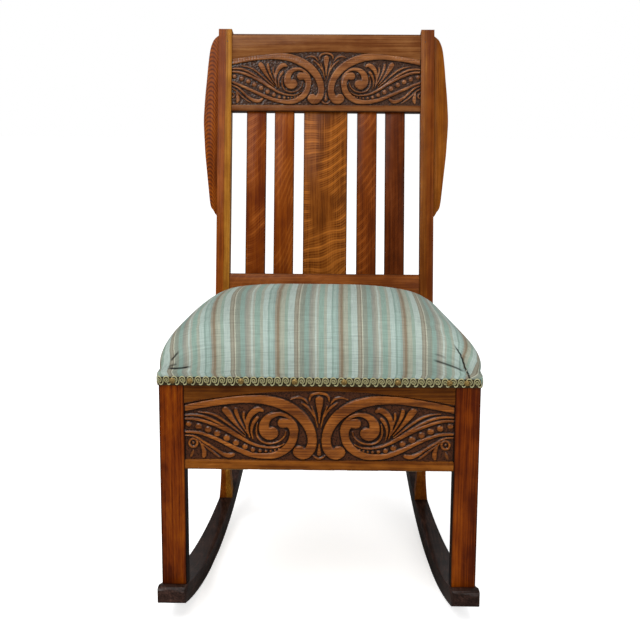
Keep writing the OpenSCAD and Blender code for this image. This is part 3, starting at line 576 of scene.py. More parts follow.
def relief_heights(across, up, unit, droop, strokes):
    """Height shares of the carving at points given in millimetres from the field's outer
    lower corner. unit is the size of a drawn unit; droop lowers the upper part's ends."""
    u = across / unit[0]
    sag = 1 - droop * np.clip(1 - u / DRAWN_W, 0, 1) ** 1.5 * (up / unit[1] / DRAWN_H) ** 2
    v = up / (unit[1] * sag)
    h = np.zeros_like(u)
    mm = (unit[0] + unit[1]) / 2
    roundness = 2.5 / mm
    for share, stroke in STROKES + strokes:
        line = between(np.array(stroke, float), 0, 6)
        reach = line[:, 2].max() + 0.5
        near = ((u > line[:, 0].min() - reach) & (u < line[:, 0].max() + reach)
                & (v > line[:, 1].min() - reach) & (v < line[:, 1].max() + reach))
        pu, pv = u[near], v[near]
        best = np.zeros_like(pu)
        for a, b in zip(line[:-1], line[1:]):
            d = b[:2] - a[:2]
            t = np.clip(((pu - a[0]) * d[0] + (pv - a[1]) * d[1]) / max(d @ d, 1e-9), 0, 1)
            away = np.hypot(pu - a[0] - t * d[0], pv - a[1] - t * d[1])
            half = a[2] + t * (b[2] - a[2])
            soft = np.minimum(roundness, half)
            k = np.clip((away - (half - soft)) / soft, 0, 1)
            # A wide band is dished a little along its middle, as the gouge leaves it
            dish = 0.16 * np.clip(half / 4.0, 0, 1) * np.exp(-(away / np.maximum(half * 0.55, 0.1)) ** 2)
            best = np.maximum(best, np.sqrt(np.clip(1 - k * k, 0, 1)) * (1 - dish) * (k < 1))
        h[near] = np.maximum(h[near], best * share)
    for bu, bv, r in BEADS:
        away = np.hypot(u - bu, v - bv) / r
        h = np.maximum(h, 0.8 * np.sqrt(np.clip(1 - away ** 2, 0, 1)))
    return h


def carved_panel(name, half, low, top, rise, deep, pitch, droop, strokes, to_world, material, shift):
    """The carved relief of an arched field. low and top are its edges in mm and rise its arch's
    height; pitch is the grid's. to_world turns (across, up, out) in mm into a place."""
    nx = int(round(half / pitch)) * 2 + 1
    ny = int(round((top - low) / pitch)) + 1
    xs = np.linspace(-half, half, nx)
    radius = (half * half + rise * rise) / (2 * rise)
    arch = top - radius + np.sqrt(radius ** 2 - xs ** 2)
    X = np.repeat(xs[:, None], ny, axis=1)
    Y = low + np.linspace(0, 1, ny)[None, :] * (arch[:, None] - low)
    unit = (half / DRAWN_W, (top - low) * 0.975 / DRAWN_H)
    h = relief_heights(half - np.abs(X), Y - low, unit, droop, strokes)
    rng = np.random.default_rng(7)
    stipple, gouge = (blurred(rng.random(X.shape), reach) for reach in (1, 4))
    stipple, gouge = ((g - g.mean()) / g.std() for g in (stipple, gouge))
    ground = np.clip(1 - h / 0.12, 0, 1)
    edge = np.minimum(half - np.abs(X), np.minimum(Y - low, arch[:, None] - Y))
    out = deep * (0.05 + 0.95 * h) + 0.12 * stipple * ground + 0.05 * gouge * (1 - ground)
    out = np.clip(out, 0.1, deep + 0.15)
    # The drawing fades to the ground at the field's own wall
    out = np.where(edge < 0.6, np.minimum(out, deep * (0.1 + 0.75 * h)), out)
    depth = np.clip(out / deep, 0, 1)
    # Painted shade: the deeper a point lies below the carving about it, the darker it is drawn
    hollow = np.clip((blurred(depth, 3) - depth) * 2.6, 0, 1)
    # Painted shadow where the field meets the posts or legs
    hollow = np.maximum(hollow, np.exp(-((half - np.abs(X)) / 1.8) ** 2))
    front = np.stack([X, Y, out], -1)
    rim = ring_order(nx, ny)
    behind = np.array([(*front[cell][:2], -0.8) for cell in rim])
    flat = np.vstack([front.reshape(-1, 3), behind])
    index = np.arange(nx * ny).reshape(nx, ny)
    wall = list(range(nx * ny, nx * ny + len(rim)))
    faces = grid_faces(index) + band_faces([[int(index[cell]) for cell in rim], wall]) + [tuple(wall[::-1])]
    mesh = closed(mesh_from(name, to_world(flat), faces))
    for label, values in (("relief", depth), ("hollow", hollow)):
        set_attribute(mesh, label, np.append(values.ravel(), np.zeros(len(rim))))
    set_attribute(mesh, "board", flat * MM + [shift, 0, 0])
    finish_mesh(mesh, 60)
    return place(mesh, name, material, "chair", "quartered_oak")


# ---------------------------------------------------------------- shape of the sprung seat
# Seat sizes are in millimetres; y runs back from the legs' front faces
SKIN = 1.8
EDGE_Z = RAIL_TOP / MM + 3.3
HEM_Z = float(COVER_LOW[2]) / MM
CROWN_RISE = float(COVER_HIGH[2]) / MM - EDGE_Z
CROWN_LEAN = (float(COVER_HIGH[2]) - RAIL_TOP) / MM * 0.13
CROWN_HALF_Y = (SEAT_DEPTH / MM - 0.3) / 2
CROWN_MID_Y = CROWN_HALF_Y - SKIN
MEAN_HALF = (FRONT_HALF + BACK_HALF) / 2 / MM + SKIN
TAPER_HALF = (FRONT_HALF - BACK_HALF) / 2 / MM


def to_frame(points):
    """Seat millimetres to the frame's metres."""
    out = np.array(points, float) * MM
    out[..., 1] += FRONT_Y
    return out


def dome(s, fuller=0.0):
    """Share of the crown's rise at a share of the way out."""
    return np.clip(1 - s ** (2.63 + fuller), 0, 1) ** (1 / 2.59)


def squareness(s):
    """How square the seat is in plan: rounder in the middle than at the rails."""
    return 3.7 + 10.3 * s ** 6 + 16 * s ** 60


def crown(s, th, deep=0.0, lowered=None, used=1.0):
    """A point of the crowned seat: s is 0 at its middle and 1 at its edge. deep is how far in
    it lies; lowered is used in its place for the height. Use has pushed the stuffing to the
    left, most at that shoulder; its corners stay square down at the rails."""
    reach = 1 - (1 - np.minimum(s, 1) ** 2) ** 4
    left, right = reach * np.clip(-np.cos(th), 0, 1) ** 2, reach * np.clip(np.cos(th), 0, 1) ** 2
    h = dome(s, 0.5 * used * left)
    n = squareness(s)
    k = s * (np.abs(np.cos(th)) ** n + np.abs(np.sin(th)) ** n) ** (-1 / n)
    u, v = k * np.cos(th), k * np.sin(th)
    pushed = 5 * right * h ** 3 - 9 * h * h - left * (18 * h * h - 34 * h * (1 - h) ** 2)
    x = u * (MEAN_HALF - TAPER_HALF * v - deep) * (1 + 0.063 * h * (1 - h)) + used * pushed
    y = CROWN_MID_Y + v * (CROWN_HALF_Y - deep) - CROWN_LEAN * h
    return np.stack([x, y, EDGE_Z + (CROWN_RISE - (deep if lowered is None else lowered)) * h], -1)


def crown_height(x, y):
    """Height of the crown over its edge at a place, 0 outside it."""
    low, high = np.zeros_like(x), np.ones_like(x)
    for _ in range(20):
        s = (low + high) / 2
        h = dome(s)
        v = (y - CROWN_MID_Y + CROWN_LEAN * h) / CROWN_HALF_Y
        u = x / ((MEAN_HALF - TAPER_HALF * v) * (1 + 0.063 * h * (1 - h)))
        n = squareness(s)
        inside = np.abs(u) ** n + np.abs(v) ** n < s ** n
        high = np.where(inside, s, high)
        low = np.where(inside, low, s)
    return CROWN_RISE * dome(s)


FRONT_HANG = 3.4     # before this place the cloth hangs down the front
STEEP = 0.985        # share of the seat beyond which it hangs down the sides and back


def cloth_lengths(points, th, count):
    """Lengths along the cloth from its middle, across and from front to back, in mm, each
    from count steps over the even crown. Where the cloth hangs steeply, the last step is
    straight: down the sides it counts across, down the front and back along."""
    t = np.sin(np.linspace(0, math.pi / 2, count))
    x, y, z = points[:, 0], points[:, 1], points[:, 2] - EDGE_Z
    middle = CROWN_MID_Y - CROWN_LEAN
    xc = np.minimum(x, (MEAN_HALF - TAPER_HALF * (y - CROWN_MID_Y) / CROWN_HALF_Y) * STEEP)
    yc = np.clip(y, FRONT_HANG, CROWN_MID_Y + CROWN_HALF_Y * STEEP)
    sides = np.abs(np.cos(th)) ** 8 / (np.abs(np.cos(th)) ** 8 + np.abs(np.sin(th)) ** 8)
    out = []
    for xs, ys in ((xc[:, None] * t, np.repeat(yc[:, None], count, 1)),
                   (np.repeat(xc[:, None], count, 1), middle + (yc - middle)[:, None] * t)):
        h = crown_height(xs, ys)
        steps = np.sqrt(np.diff(xs, axis=1) ** 2 + np.diff(ys, axis=1) ** 2 + np.diff(h, axis=1) ** 2)
        out.append(steps.sum(1))
    last = np.sqrt((x - xc) ** 2 + (y - yc) ** 2 + (h[:, -1] - z) ** 2)
    # At the hem of the front and back the cloth lies straight across
    hung = np.clip(np.where(y < FRONT_HANG, z / (CROWN_RISE * 0.44), 1), 0, 1)
    across = out[0] + sides * last
    across = np.where(y < FRONT_HANG, x + (across - x) * hung, across)
    return across, (out[1] + (1 - sides) * last) * np.sign(y - middle)


def cover_outline():
    """The cover's edge over the rails from front middle to back middle: x, y, hem height and
    how far it faces sideways."""
    end_y = SEAT_DEPTH / MM - 0.3
    side = [(side_out(y * MM) / MM + SKIN, y) for y in (LEG_W / MM, end_y)]
    post = POST_IN / MM - 0.3
    back = (SEAT_DEPTH + POST_D) / MM
    return [(0, -SKIN, HEM_Z, 0), (FRONT_HALF / MM + SKIN, -SKIN, HEM_Z, 0.5),
            (side[0][0], side[0][1], HEM_Z, 1), (side[1][0], side[1][1], HEM_Z, 1),
            (side[1][0] - SKIN + 0.15, end_y, EDGE_Z - 3, 0), (post, end_y, EDGE_Z - 3, 0.5),
            (post, back + 0.15, EDGE_Z - 3, 1), (post - 0.3, back + SKIN, HEM_Z, 0),
            (0, back + SKIN, HEM_Z, 0)]


def square_rings(n):
    """Shares and angles of an n by n grid of square rings, closer towards the steep edge."""
    a = np.linspace(-1, 1, n)
    A, B = np.meshgrid(a, a, indexing="ij")
    return 1 - (1 - np.maximum(np.abs(A), np.abs(B))) ** 2, np.arctan2(B, A)


def edge_points(th):
    """The outline's points that a ring of angles meets; each corner takes its nearest one."""
    half = np.array(cover_outline())
    rows = []
    for a, b in zip(half[:-1], half[1:]):
        for t in np.arange(24) / 24:
            rows.append(a + (b - a) * t)
    rows = np.array(rows + [half[-1]])
    v = (rows[:, 1] - CROWN_MID_Y) / CROWN_HALF_Y
    angle = np.arctan2(v, rows[:, 0] / (MEAN_HALF - TAPER_HALF * v))
    right = np.abs(np.cos(th)) * (np.abs(np.cos(th)) > 1e-9)
    wanted = np.arctan2(np.sin(th), right)
    out = np.stack([np.interp(wanted, angle, rows[:, k]) for k in range(4)], -1)
    corner_angle = angle[::24]
    for k in range(1, len(half) - 1):
        for side in (-1, 1):
            mine = np.where(np.sign(np.round(np.cos(th), 9)) == side)[0]
            out[mine[np.argmin(np.abs(wanted[mine] - corner_angle[k]))]] = half[k]
    out[:, 0] *= np.sign(np.round(np.cos(th), 9))
    return out


COARSE = 57          # points along each side of the cover before it is filled in
FINER = 4            # points that each of them becomes
SKIRT = np.array([0.1, 0.3, 0.5, 0.75, 1.0])  # heights of its rows, as shares of the way to the hem
CLOTH_T = 1.5        # of the cover
COVER_T = 4.2        # how far inside the cover's face the pad and the roll lie
PAD_EDGE = 0.8       # share of the way out at which the pad meets the roll
WEB_W = 50.0         # of a strip of webbing
EASE = 0.3           # room that part.scad leaves at each end of a spring


SWELL_FRAMES = 20


def swollen(points, faces, held, swell):
    """Fills the cover with pressure as cloth, held at its hem, and lets no point move farther
    than swell (metres)."""
    mesh = mesh_from("cover_blank", points, faces)
    out = points_of(mesh, "normal")
    blank = bpy.data.objects.new("cover_blank", mesh)
    bpy.context.scene.collection.objects.link(blank)
    group = blank.vertex_groups.new(name="held")
    group.add([int(i) for i in held], 1.0, "REPLACE")
    cloth = blank.modifiers.new("Cloth", "CLOTH")
    cloth.settings.quality = 6
    cloth.settings.tension_stiffness = 12
    cloth.settings.compression_stiffness = 12
    cloth.settings.bending_stiffness = 0.4
    cloth.settings.use_pressure = True
    cloth.settings.uniform_pressure_force = 4
    cloth.settings.vertex_group_mass = "held"
    cloth.settings.effector_weights.gravity = 0
    cloth.point_cache.frame_start, cloth.point_cache.frame_end = 1, SWELL_FRAMES
    scene = bpy.context.scene
    for step in range(1, SWELL_FRAMES + 1):
        scene.frame_set(step)
    done = blank.evaluated_get(bpy.context.evaluated_depsgraph_get())
    shift = points_of(done.data) - points
    bpy.data.objects.remove(blank)
    bpy.data.meshes.remove(mesh)
    scene.frame_set(1)
    if not np.isfinite(shift).all() or np.abs(shift).max() < 1e-5:
        raise RuntimeError("the cover's cloth didn't swell")
    # The stuffing behind it keeps the cloth from drawing inward
    inward = np.minimum((shift * out).sum(1, keepdims=True), 0)
    shift -= inward * out
    far = np.linalg.norm(shift, axis=1, keepdims=True)
    return points + shift * np.minimum(1, swell / np.maximum(far, 1e-9))


# Creases at the front corners, where the cloth is folded under: points in seat mm, how deep
# and how wide each is in mm, the side on which its lip stands up, and 1 or 1.3: it ends on
# the cloth, or runs in under the braid. The first one draws the cloth beyond it sideways.
DRAWN_BY, DRAWN_REACH = 36, 45
CREASE_SHADE = 1.8   # depth of a crease that is shaded in full
CREASES = [
    ([(211.3, 8.9, 465), (218, 2, 455.3), (223, -1.8, 445.5), (229.5, -2.7, 430), (234.4, -1.3, 419),
      (237, -0.6, 407)],
     2.0, 2.2, 1, 1.3),
    ([(178.2, -2.8, 442.4), (192.6, -3.1, 438.2), (212.8, -3, 431.5), (230.4, -2.1, 424)], 1.5, 2.4, 1, 1),
    ([(180.9, -1.3, 451), (190.4, -1.9, 448.5), (199.9, -2.6, 444.2)], 0.7, 2.4, -1, 1),
    ([(-241.6, -1.1, 424.2), (-221.3, -2.6, 426.3), (-201.2, -2.9, 428.9)], 1.8, 2.2, -1, 1),
    ([(-239.8, -1.7, 427), (-232.3, -2.6, 430.7), (-224.7, -3, 434.1)], 1.2, 2.2, -1, 1),
    ([(-236.1, -2.2, 436.8), (-230.6, -2, 443.1), (-222.4, -0.4, 451.1)], 1.6, 2.4, 1, 1),
]


def make_cover(settings, material):
    """The cover: a crown of cloth, a skirt down over the rails, and an inner face."""
    n, skirt_rows = COARSE, len(SKIRT)
    s, th = square_rings(n)
    ideal = crown(s, th)
    grid = crown(s, th, 0.0, settings.start_low / MM)
    ring = ring_order(n)
    ring_th = np.array([th[cell] for cell in ring])
    edge = edge_points(ring_th)
    rows = np.repeat(edge[None, :, :3], skirt_rows, 0)
    rows[..., 2] = EDGE_Z + (edge[:, 2] - EDGE_Z) * SKIRT[:, None]
    faces, levels = skirted(np.arange(n * n).reshape(n, n), ring, n * n)
    points = to_frame(np.vstack([grid.reshape(-1, 3), rows.reshape(-1, 3)]))
    under, foot = len(points), levels[-1]
    shut = faces + [(a, under, b) for a, b in zip(foot, foot[1:] + foot[:1])]
    bottom = np.vstack([points, [[0, FRONT_Y + CROWN_MID_Y * MM, HEM_Z * MM]]])
    held = [under] + [v for row in levels[2:] for v in row]
    points = swollen(bottom, shut, held, settings.swell)[:under]
    # The swelling is laid over a finer grid of the same shape
    moved = points[:n * n].reshape(n, n, 3) - to_frame(ideal)
    moved = between(between(moved, 0, FINER), 1, FINER)
    m = moved.shape[0]
    s, th = square_rings(m)
    fine_ideal = crown(s, th)
    fine_grid = to_frame(fine_ideal) + moved
    # Lengths along the cloth, from the even crown before it leaned
    half_s, half_th = s[m // 2:], th[m // 2:]
    across, front = cloth_lengths(crown(half_s, half_th, used=0.0).reshape(-1, 3), half_th.ravel(), 28)
    across, front = across.reshape(half_s.shape), front.reshape(half_s.shape)
    fine_cg = np.stack([np.concatenate([-across[:0:-1], across]),
                        np.concatenate([front[:0:-1], front])], -1)
    # The cloth itself followed the lean only in part
    fine_cg[..., 0] -= 6.5 * ((fine_ideal[..., 2] - EDGE_Z) / CROWN_RISE) ** 2
    ce, ge = cloth_lengths(np.abs(edge[:, :3]) * [1, 0, 1] + edge[:, :3] * [0, 1, 0],
                           np.arctan2(np.sin(ring_th), np.abs(np.cos(ring_th))), 40)
    drop = EDGE_Z - rows[..., 2]
    sideways = edge[:, 3]
    skirt_cg = np.stack([(ce + drop * sideways) * np.sign(edge[:, 0]),
                         ge + drop * (1 - sideways) * np.sign(edge[:, 1] - CROWN_MID_Y)], -1)
    skirt, skirt_cg, ideal_skirt = (
        between(v, 1, FINER, cyclic=True, smooth=False)
        for v in (points[n * n:].reshape(skirt_rows, -1, 3), skirt_cg, rows))
    index = np.arange(m * m).reshape(m, m)
    faces, levels = skirted(index, ring_order(m), m * m)
    outer = np.vstack([fine_grid.reshape(-1, 3), skirt.reshape(-1, 3)])
    cg = np.vstack([fine_cg.reshape(-1, 2), skirt_cg.reshape(-1, 2)])
    shell = mesh_from("cover_shell", outer, faces)
    normals = points_of(shell, "normal")
    if normals[m * m // 2][2] < 0:
        normals = -normals
    bpy.data.meshes.remove(shell)
    sink, fold, drawn = creased(np.vstack([fine_ideal.reshape(-1, 3), ideal_skirt.reshape(-1, 3)]), normals)
    # The skirt lies flat on the frame
    sink[m * m:] = 0
    outer += normals * sink[:, None] * MM
    cg[:, 0] += drawn
    # The inner face, one cloth's thickness in, from every fourth point
    inner_ids = np.concatenate([index[::FINER, ::FINER].ravel()] + [level[::FINER] for level in levels[1:]])
    inner = outer[inner_ids] - normals[inner_ids] * CLOTH_T * MM
    base = len(outer)
    more, inside = skirted(np.arange(n * n).reshape(n, n) + base, ring, base + n * n, inward=True)
    faces += more
    hem, inner_hem = levels[-1], inside[-1]
    for k in range(len(ring)):
        low = [hem[(FINER * k + t) % len(hem)] for t in range(FINER + 1)]
        faces.append(tuple(low + [inner_hem[(k + 1) % len(ring)], inner_hem[k]]))
    mesh = closed(mesh_from("seat_cover", np.vstack([outer, inner]), faces))
    cloth, folds = np.zeros((2, base + len(inner), 3))
    cloth[:, :2] = np.vstack([cg, cg[inner_ids]]) * MM
    cloth[:base, 2] = fold[0, :, 0] * MM
    folds[:base] = fold.transpose(1, 0, 2).reshape(-1, 4)[:, 1:] * [1 / CREASE_SHADE, MM, 1 / CREASE_SHADE]
    set_attribute(mesh, "cloth", cloth)
    set_attribute(mesh, "fold", folds)
    finish_mesh(mesh, 75)
    piece = place(mesh, "striped_cover", material, "chair", "striped_cover", ("seat_cover",))
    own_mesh(piece)


def creased(flat, out):
    """How far each point of the cover's outer face sinks into a crease. Also gives, for each
    of two sets of creases, the distance to the nearest one, signed by its side, and its
    strength there; and how far the first crease has drawn the cloth beyond it sideways."""
    sink = np.zeros(len(flat))
    nearest = np.full((2, len(flat), 2), 1e3) * [1, 0]
    drawn = np.zeros(len(flat))
    for number, (line, depth, half, lip, end) in enumerate(CREASES):
        line = between(np.array(line, float), 0, 5)
        for k, p in enumerate(line):
            # Drawn points lie near the cloth, and are set on it
            at = np.argmin(((flat - p) ** 2).sum(1))
            line[k] += ((flat[at] - p) @ out[at]) * out[at]
        best = np.full(len(flat), 1e9)
        share, side, beyond = np.zeros((3, len(flat)))
        for k, (a, b) in enumerate(zip(line[:-1], line[1:])):
            d = b - a
            t = np.clip((flat - a) @ d / (d @ d), 0, 1)
            gap = flat - a - t[:, None] * d
            away = np.linalg.norm(gap, axis=1)
            near = away < best
            best[near] = away[near]
            share[near] = ((k + t) / (len(line) - 1))[near]
            side[near] = np.sign((np.cross(out, d) * gap).sum(1))[near]
            beyond[near] = gap[near, 0] > 0
        # A crease opens out of nothing
        strength = depth * np.clip(share * 6, 0, 1) * np.clip((end - share) * 5, 0, 1)
        sink -= strength * np.exp(-(best / half) ** 2)
        sink += 0.35 * strength * np.exp(-((side * lip * best - 2.6 * half) / (1.6 * half)) ** 2)
        mine = best < np.abs(nearest[number % 2, :, 0])
        strength *= np.clip((6 - best) / 2, 0, 1)
        nearest[number % 2, mine] = np.stack([side * best, strength], -1)[mine]
        if number == 0:
            drawn = beyond * DRAWN_BY * share ** 1.5 * np.exp(-best / DRAWN_REACH)
    return sink, nearest, drawn


def ring_rows(rows, name, cap_top=None, cap_foot=None):
    """A closed mesh over rings of points: capped at both ends, or else joined end to start."""
    n = len(rows[0])
    levels = [list(range(i * n, (i + 1) * n)) for i in range(len(rows))]
    points = np.vstack(rows)
    if cap_top is None:
        faces = band_faces(levels + levels[:1])
    else:
        faces = band_faces(levels)
        for level, cap in ((levels[0], cap_top), (levels[-1], cap_foot)):
            faces += [(a, b, len(points)) for a, b in zip(level, level[1:] + level[:1])]
            points = np.vstack([points, cap])
    return closed(mesh_from(name, to_frame(points), faces))


def turn(n):
    """Angles once round, starting at a side."""
    return np.arange(n) / n * 2 * math.pi


def make_stuffing(material):
    """The sprung pad: horsehair under cotton wadding, rounded over at its foot."""
    th = turn(144)
    rows = [crown(np.full_like(th, PAD_EDGE * k), th, COVER_T) for k in np.linspace(0.06, 1, 18)]
    side = rows[-1]
    foot = EDGE_Z - 1.4
    for t in (0.25, 0.6, 0.9, 1.0):
        row = side.copy()
        row[:, 2] = side[:, 2] + (foot - side[:, 2]) * t
        row[:, :2] = np.array([0, CROWN_MID_Y]) + (side[:, :2] - [0, CROWN_MID_Y]) * (1 - 0.02 * t ** 6)
        rows.append(row)
    mesh = ring_rows(rows, "seat_pad", crown(np.zeros(1), np.zeros(1), COVER_T)[0],
                     [0, CROWN_MID_Y - 6, foot])
    finish_mesh(mesh, 60)
    piece = place(mesh, "stuffed_pad", material, "seat_pad", "horsehair_and_wadding", ("seat_stuffing",))


def make_roll(material):
    """The stitched edge roll that the pad sinks into."""
    th = turn(160)
    base = EDGE_Z - 1.7
    inner, *outer, low = (crown(np.full_like(th, s), th, COVER_T)
                          for s in (PAD_EDGE + 0.0075, *np.linspace(0.815, 0.975, 9), 0.984))
    rows = []
    for t in (0.0, 0.5, 0.9):
        row = inner.copy()
        row[:, 2] = base + (inner[:, 2] - base) * t
        rows.append(row)
    low[:, 2] = base
    mesh = ring_rows(rows + outer + [low], "stitched_roll")
    finish_mesh(mesh, 60)
    piece = place(mesh, "stitched_edge_roll", material, "chair", "hessian", ("edge_roll",))
    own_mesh(piece)


def sheet_solid(outline, hole, low, high):
    """A flat sheet between two heights, cut to an outline with one hole or none."""
    n = len(outline)
    rings = [outline] if hole is None else [outline, hole]
    points = [(p[0], p[1], z) for z in (low, high) for ring in rings for p in ring]
    size = n * len(rings)
    if hole is None:
        faces = [tuple(range(n)), tuple(size + k for k in range(n))]
        faces += [(k, (k + 1) % n, size + (k + 1) % n, size + k) for k in range(n)]
    else:
        faces = []
        for k in range(n):
            j = (k + 1) % n
            faces += [(k, j, n + j, n + k), (size + k, size + j, size + n + j, size + n + k),
                      (k, j, size + j, size + k), (n + k, n + j, size + n + j, size + n + k)]
    return closed(mesh_from("sheet", to_frame(points), faces))


def make_deck(material):
    """Hessian over the springs: its edge is tacked to the rails and its middle sinks."""
    low, high = float(DECK_LOW[2]) / MM, float(DECK_HIGH[2]) / MM
    th = turn(144)
    hole = crown(np.full_like(th, PAD_EDGE), th, COVER_T)[:, :2]
    half_front, end_y = FRONT_HALF / MM - 3, SEAT_DEPTH / MM - 2.1
    post, back = POST_IN / MM - 2.1, (SEAT_DEPTH + POST_D) / MM - 3
    half = [(0, 3), (half_front, 3), (side_out(LEG_W) / MM - 3, LEG_W / MM),
            (side_out(end_y * MM) / MM - 3, end_y), (post, end_y), (post, back), (0, back)]
    ring = np.array(half + [(-x, y) for x, y in half[-2:0:-1]])
    centre = np.array([0, CROWN_MID_Y])
    outline = []
    for angle in np.arctan2(hole[:, 1] - centre[1], hole[:, 0]):
        best = math.inf
        way = np.array([math.cos(angle), math.sin(angle)])
        for p, q in zip(ring, np.roll(ring, -1, 0)):
            m = np.array([way, p - q]).T
            if abs(np.linalg.det(m)) > 1e-9:
                r, t = np.linalg.solve(m, p - centre)
                if r > 0 and -1e-9 <= t <= 1 + 1e-9:
                    best = min(best, r)
        outline.append(centre + best * way)
    for name, mesh, body, flat in (
            ("hessian_edge", sheet_solid(np.array(outline), hole, low, high), "chair",
             (2 * FRONT_HALF, SEAT_DEPTH + POST_D)),
            ("hessian_middle", sheet_solid(hole * 0.998, None, low, high), "seat_pad", None)):
        lay_grain(mesh, ACROSS, BACKWARD, (0, 0, 0), 0)
        piece = place(mesh, name, material, body, "hessian", ("spring_deck",))


def web_lines():
    """The pitch of the lengthwise strips and the places of the crosswise ones, in seat mm."""
    front, back = (float(c[1] - FRONT_Y) / MM for c in corners("webbing_crosswise"))
    side = float(corners("webbing_lengthwise")[1][0]) / MM
    return (side - WEB_W / 2) / 2, np.linspace(front + WEB_W / 2, back - WEB_W / 2, 5)


def make_webbing(material):
    """Five strips each way, plaited over and under and turned flat to the rails."""
    pitch, places = web_lines()
    columns = [(k - 2) * pitch for k in range(5)]
    low, high = (float(c[1] - FRONT_Y) / MM for c in corners("webbing_lengthwise"))
    half = 0.6
    for name, node, rails, strips, others in (
            ("webbing_long", "webbing_lengthwise", ["front_apron", "back_seat_rail"], columns, places),
            ("webbing_cross", "webbing_crosswise", ["side_rail_left", "side_rail_right"], places, columns)):
        lengthwise = strips is columns
        points, faces, where, total = [], [], [], 0.0
        for i, at in enumerate(strips):
            reach = side_out((at + WEB_W / 2) * MM) / MM - 4.4
            start, end = (low, high) if lengthwise else (-reach, reach)
            total += end - start
            run = np.arange(start, end + 1, (end - start) / 150)
            z = np.full_like(run, RAIL_LOW / MM - 0.75)
            for k, other in enumerate(others):
                near = np.clip(1 - (np.abs(run - other) - WEB_W / 2) / 7, 0, 1)
                if (i + k) % 2 != lengthwise:
                    z -= near * near * (3 - 2 * near) * 1.5
            faces += bar_faces(len(run), len(points))
            for r, h in zip(run, z):
                for side, up in ((-1, -half), (1, -half), (1, half), (-1, half)):
                    across = at + side * WEB_W / 2
                    points.append((across, r, h + up) if lengthwise else (r, across, h + up))
                    where.append((r * MM, side * WEB_W / 2 * MM, 0))
        mesh = closed(mesh_from(name, to_frame(points), faces))
        set_attribute(mesh, "cloth", where)
        finish_mesh(mesh, 40)
        piece = place(mesh, name, material, "chair", "jute_webbing", (node,))
        total / 5 * MM


# ---------------------------------------------------------------- Geometry Nodes
def geometry_tree(name, inputs):
    """A Geometry Nodes tree, the Values of its geometry and named inputs, and its end."""
    tree = bpy.data.node_groups.new(name, "GeometryNodeTree")
    for label, kind in [("Geometry", "Geometry")] + inputs:
        tree.interface.new_socket(label, in_out="INPUT", socket_type="NodeSocket" + kind)
    tree.interface.new_socket("Geometry", in_out="OUTPUT", socket_type="NodeSocketGeometry")
    given = tree.nodes.new("NodeGroupInput")
    return tree, [Value(given, k) for k in range(len(inputs) + 1)], tree.nodes.new("NodeGroupOutput")


def end_tree(out, instances, finish):
    """Every tree ends in real geometry with its finish set."""
    tree = instances.tree
    real = value(tree, "GeometryNodeRealizeInstances", Geometry=instances)
    smooth = value(tree, "GeometryNodeSetShadeSmooth", Geometry=real)
    fill(out, Geometry=value(tree, "GeometryNodeSetMaterial", Geometry=smooth, Material=finish))


def grown(tree, points, edges, values, name):
    """Runs a tree over points and edges and returns its result as a plain mesh."""
    seed = bpy.data.meshes.new(name + "_line")
    seed.from_pydata([tuple(p) for p in points], edges, [])
    carrier = bpy.data.objects.new(name + "_line", seed)
    modifier = carrier.modifiers.new(name, "NODES")
    modifier.node_group = tree
    for item in tree.interface.items_tree:
        if item.item_type == "SOCKET" and item.in_out == "INPUT" and item.name in values:
            modifier[item.identifier] = values[item.name]
    bpy.context.scene.collection.objects.link(carrier)
    graph = bpy.context.evaluated_depsgraph_get()
    mesh = bpy.data.meshes.new_from_object(carrier.evaluated_get(graph), depsgraph=graph)
    bpy.data.objects.remove(carrier)
    bpy.data.meshes.remove(seed)
    if not len(mesh.polygons):
        raise RuntimeError(name + " came out empty")
    mesh.name = name
    return closed(mesh)


def spring_tree():
    """Waisted coil springs on points: an even helix with flattened end turns."""
    tree, given, out = geometry_tree("Waisted springs", [
        ("Turns", "Float"), ("Width", "Float"), ("Waist", "Float"), ("Wire", "Float"),
        ("Height", "Float"), ("Steps", "Int"), ("Finish", "Material")])
    points, turns, width, waist, wire, height, steps, finish = given
    line = value(tree, "GeometryNodeMeshLine", Count=steps)
    curve = value(tree, "GeometryNodeMeshToCurve", Mesh=line)
    f = value(tree, "GeometryNodeInputIndex") / (steps - 1.0)
    angle = f * turns * (2 * math.pi)
    away = f * 2.0 - 1.0
    radius = (away * away * (width - waist) + waist - wire) * 0.5
    climb = f - wave(f, 1.0) * (0.8 / (2 * math.pi))
    spot = joined(tree, X=radius * angle.math("COSINE"), Y=radius * angle.math("SINE"), Z=climb * height)
    coil = value(tree, "GeometryNodeSetPosition", Geometry=curve, Position=spot)
    circle = value(tree, "GeometryNodeCurvePrimitiveCircle", Resolution=8, Radius=wire * 0.5)
    tube = value(tree, "GeometryNodeCurveToMesh", Curve=coil, Profile_Curve=circle, Fill_Caps=True)
    end_tree(out, value(tree, "GeometryNodeInstanceOnPoints", Points=points, Instance=tube), finish)
    return tree


def make_springs(settings, material):
    pitch, places = web_lines()
    fixed = RAIL_LOW + EASE * MM
    tall = RAIL_TOP - RAIL_LOW - 2 * EASE * MM - settings.wire
    foot = (fixed + settings.wire / 2) / MM
    spots = to_frame([(i * pitch, places[j], foot) for i in (-2, 0, 2) for j in (0, 2, 4)])
    mesh = grown(spring_tree(), spots, [], {
        "Turns": settings.turns, "Width": settings.width, "Waist": settings.waist,
        "Wire": settings.wire, "Height": tall, "Steps": 160, "Finish": material}, "coil_springs")
    piece = place(mesh, "coil_springs", material, "chair", "spring_wire", ("seat_springs",))
    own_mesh(piece)


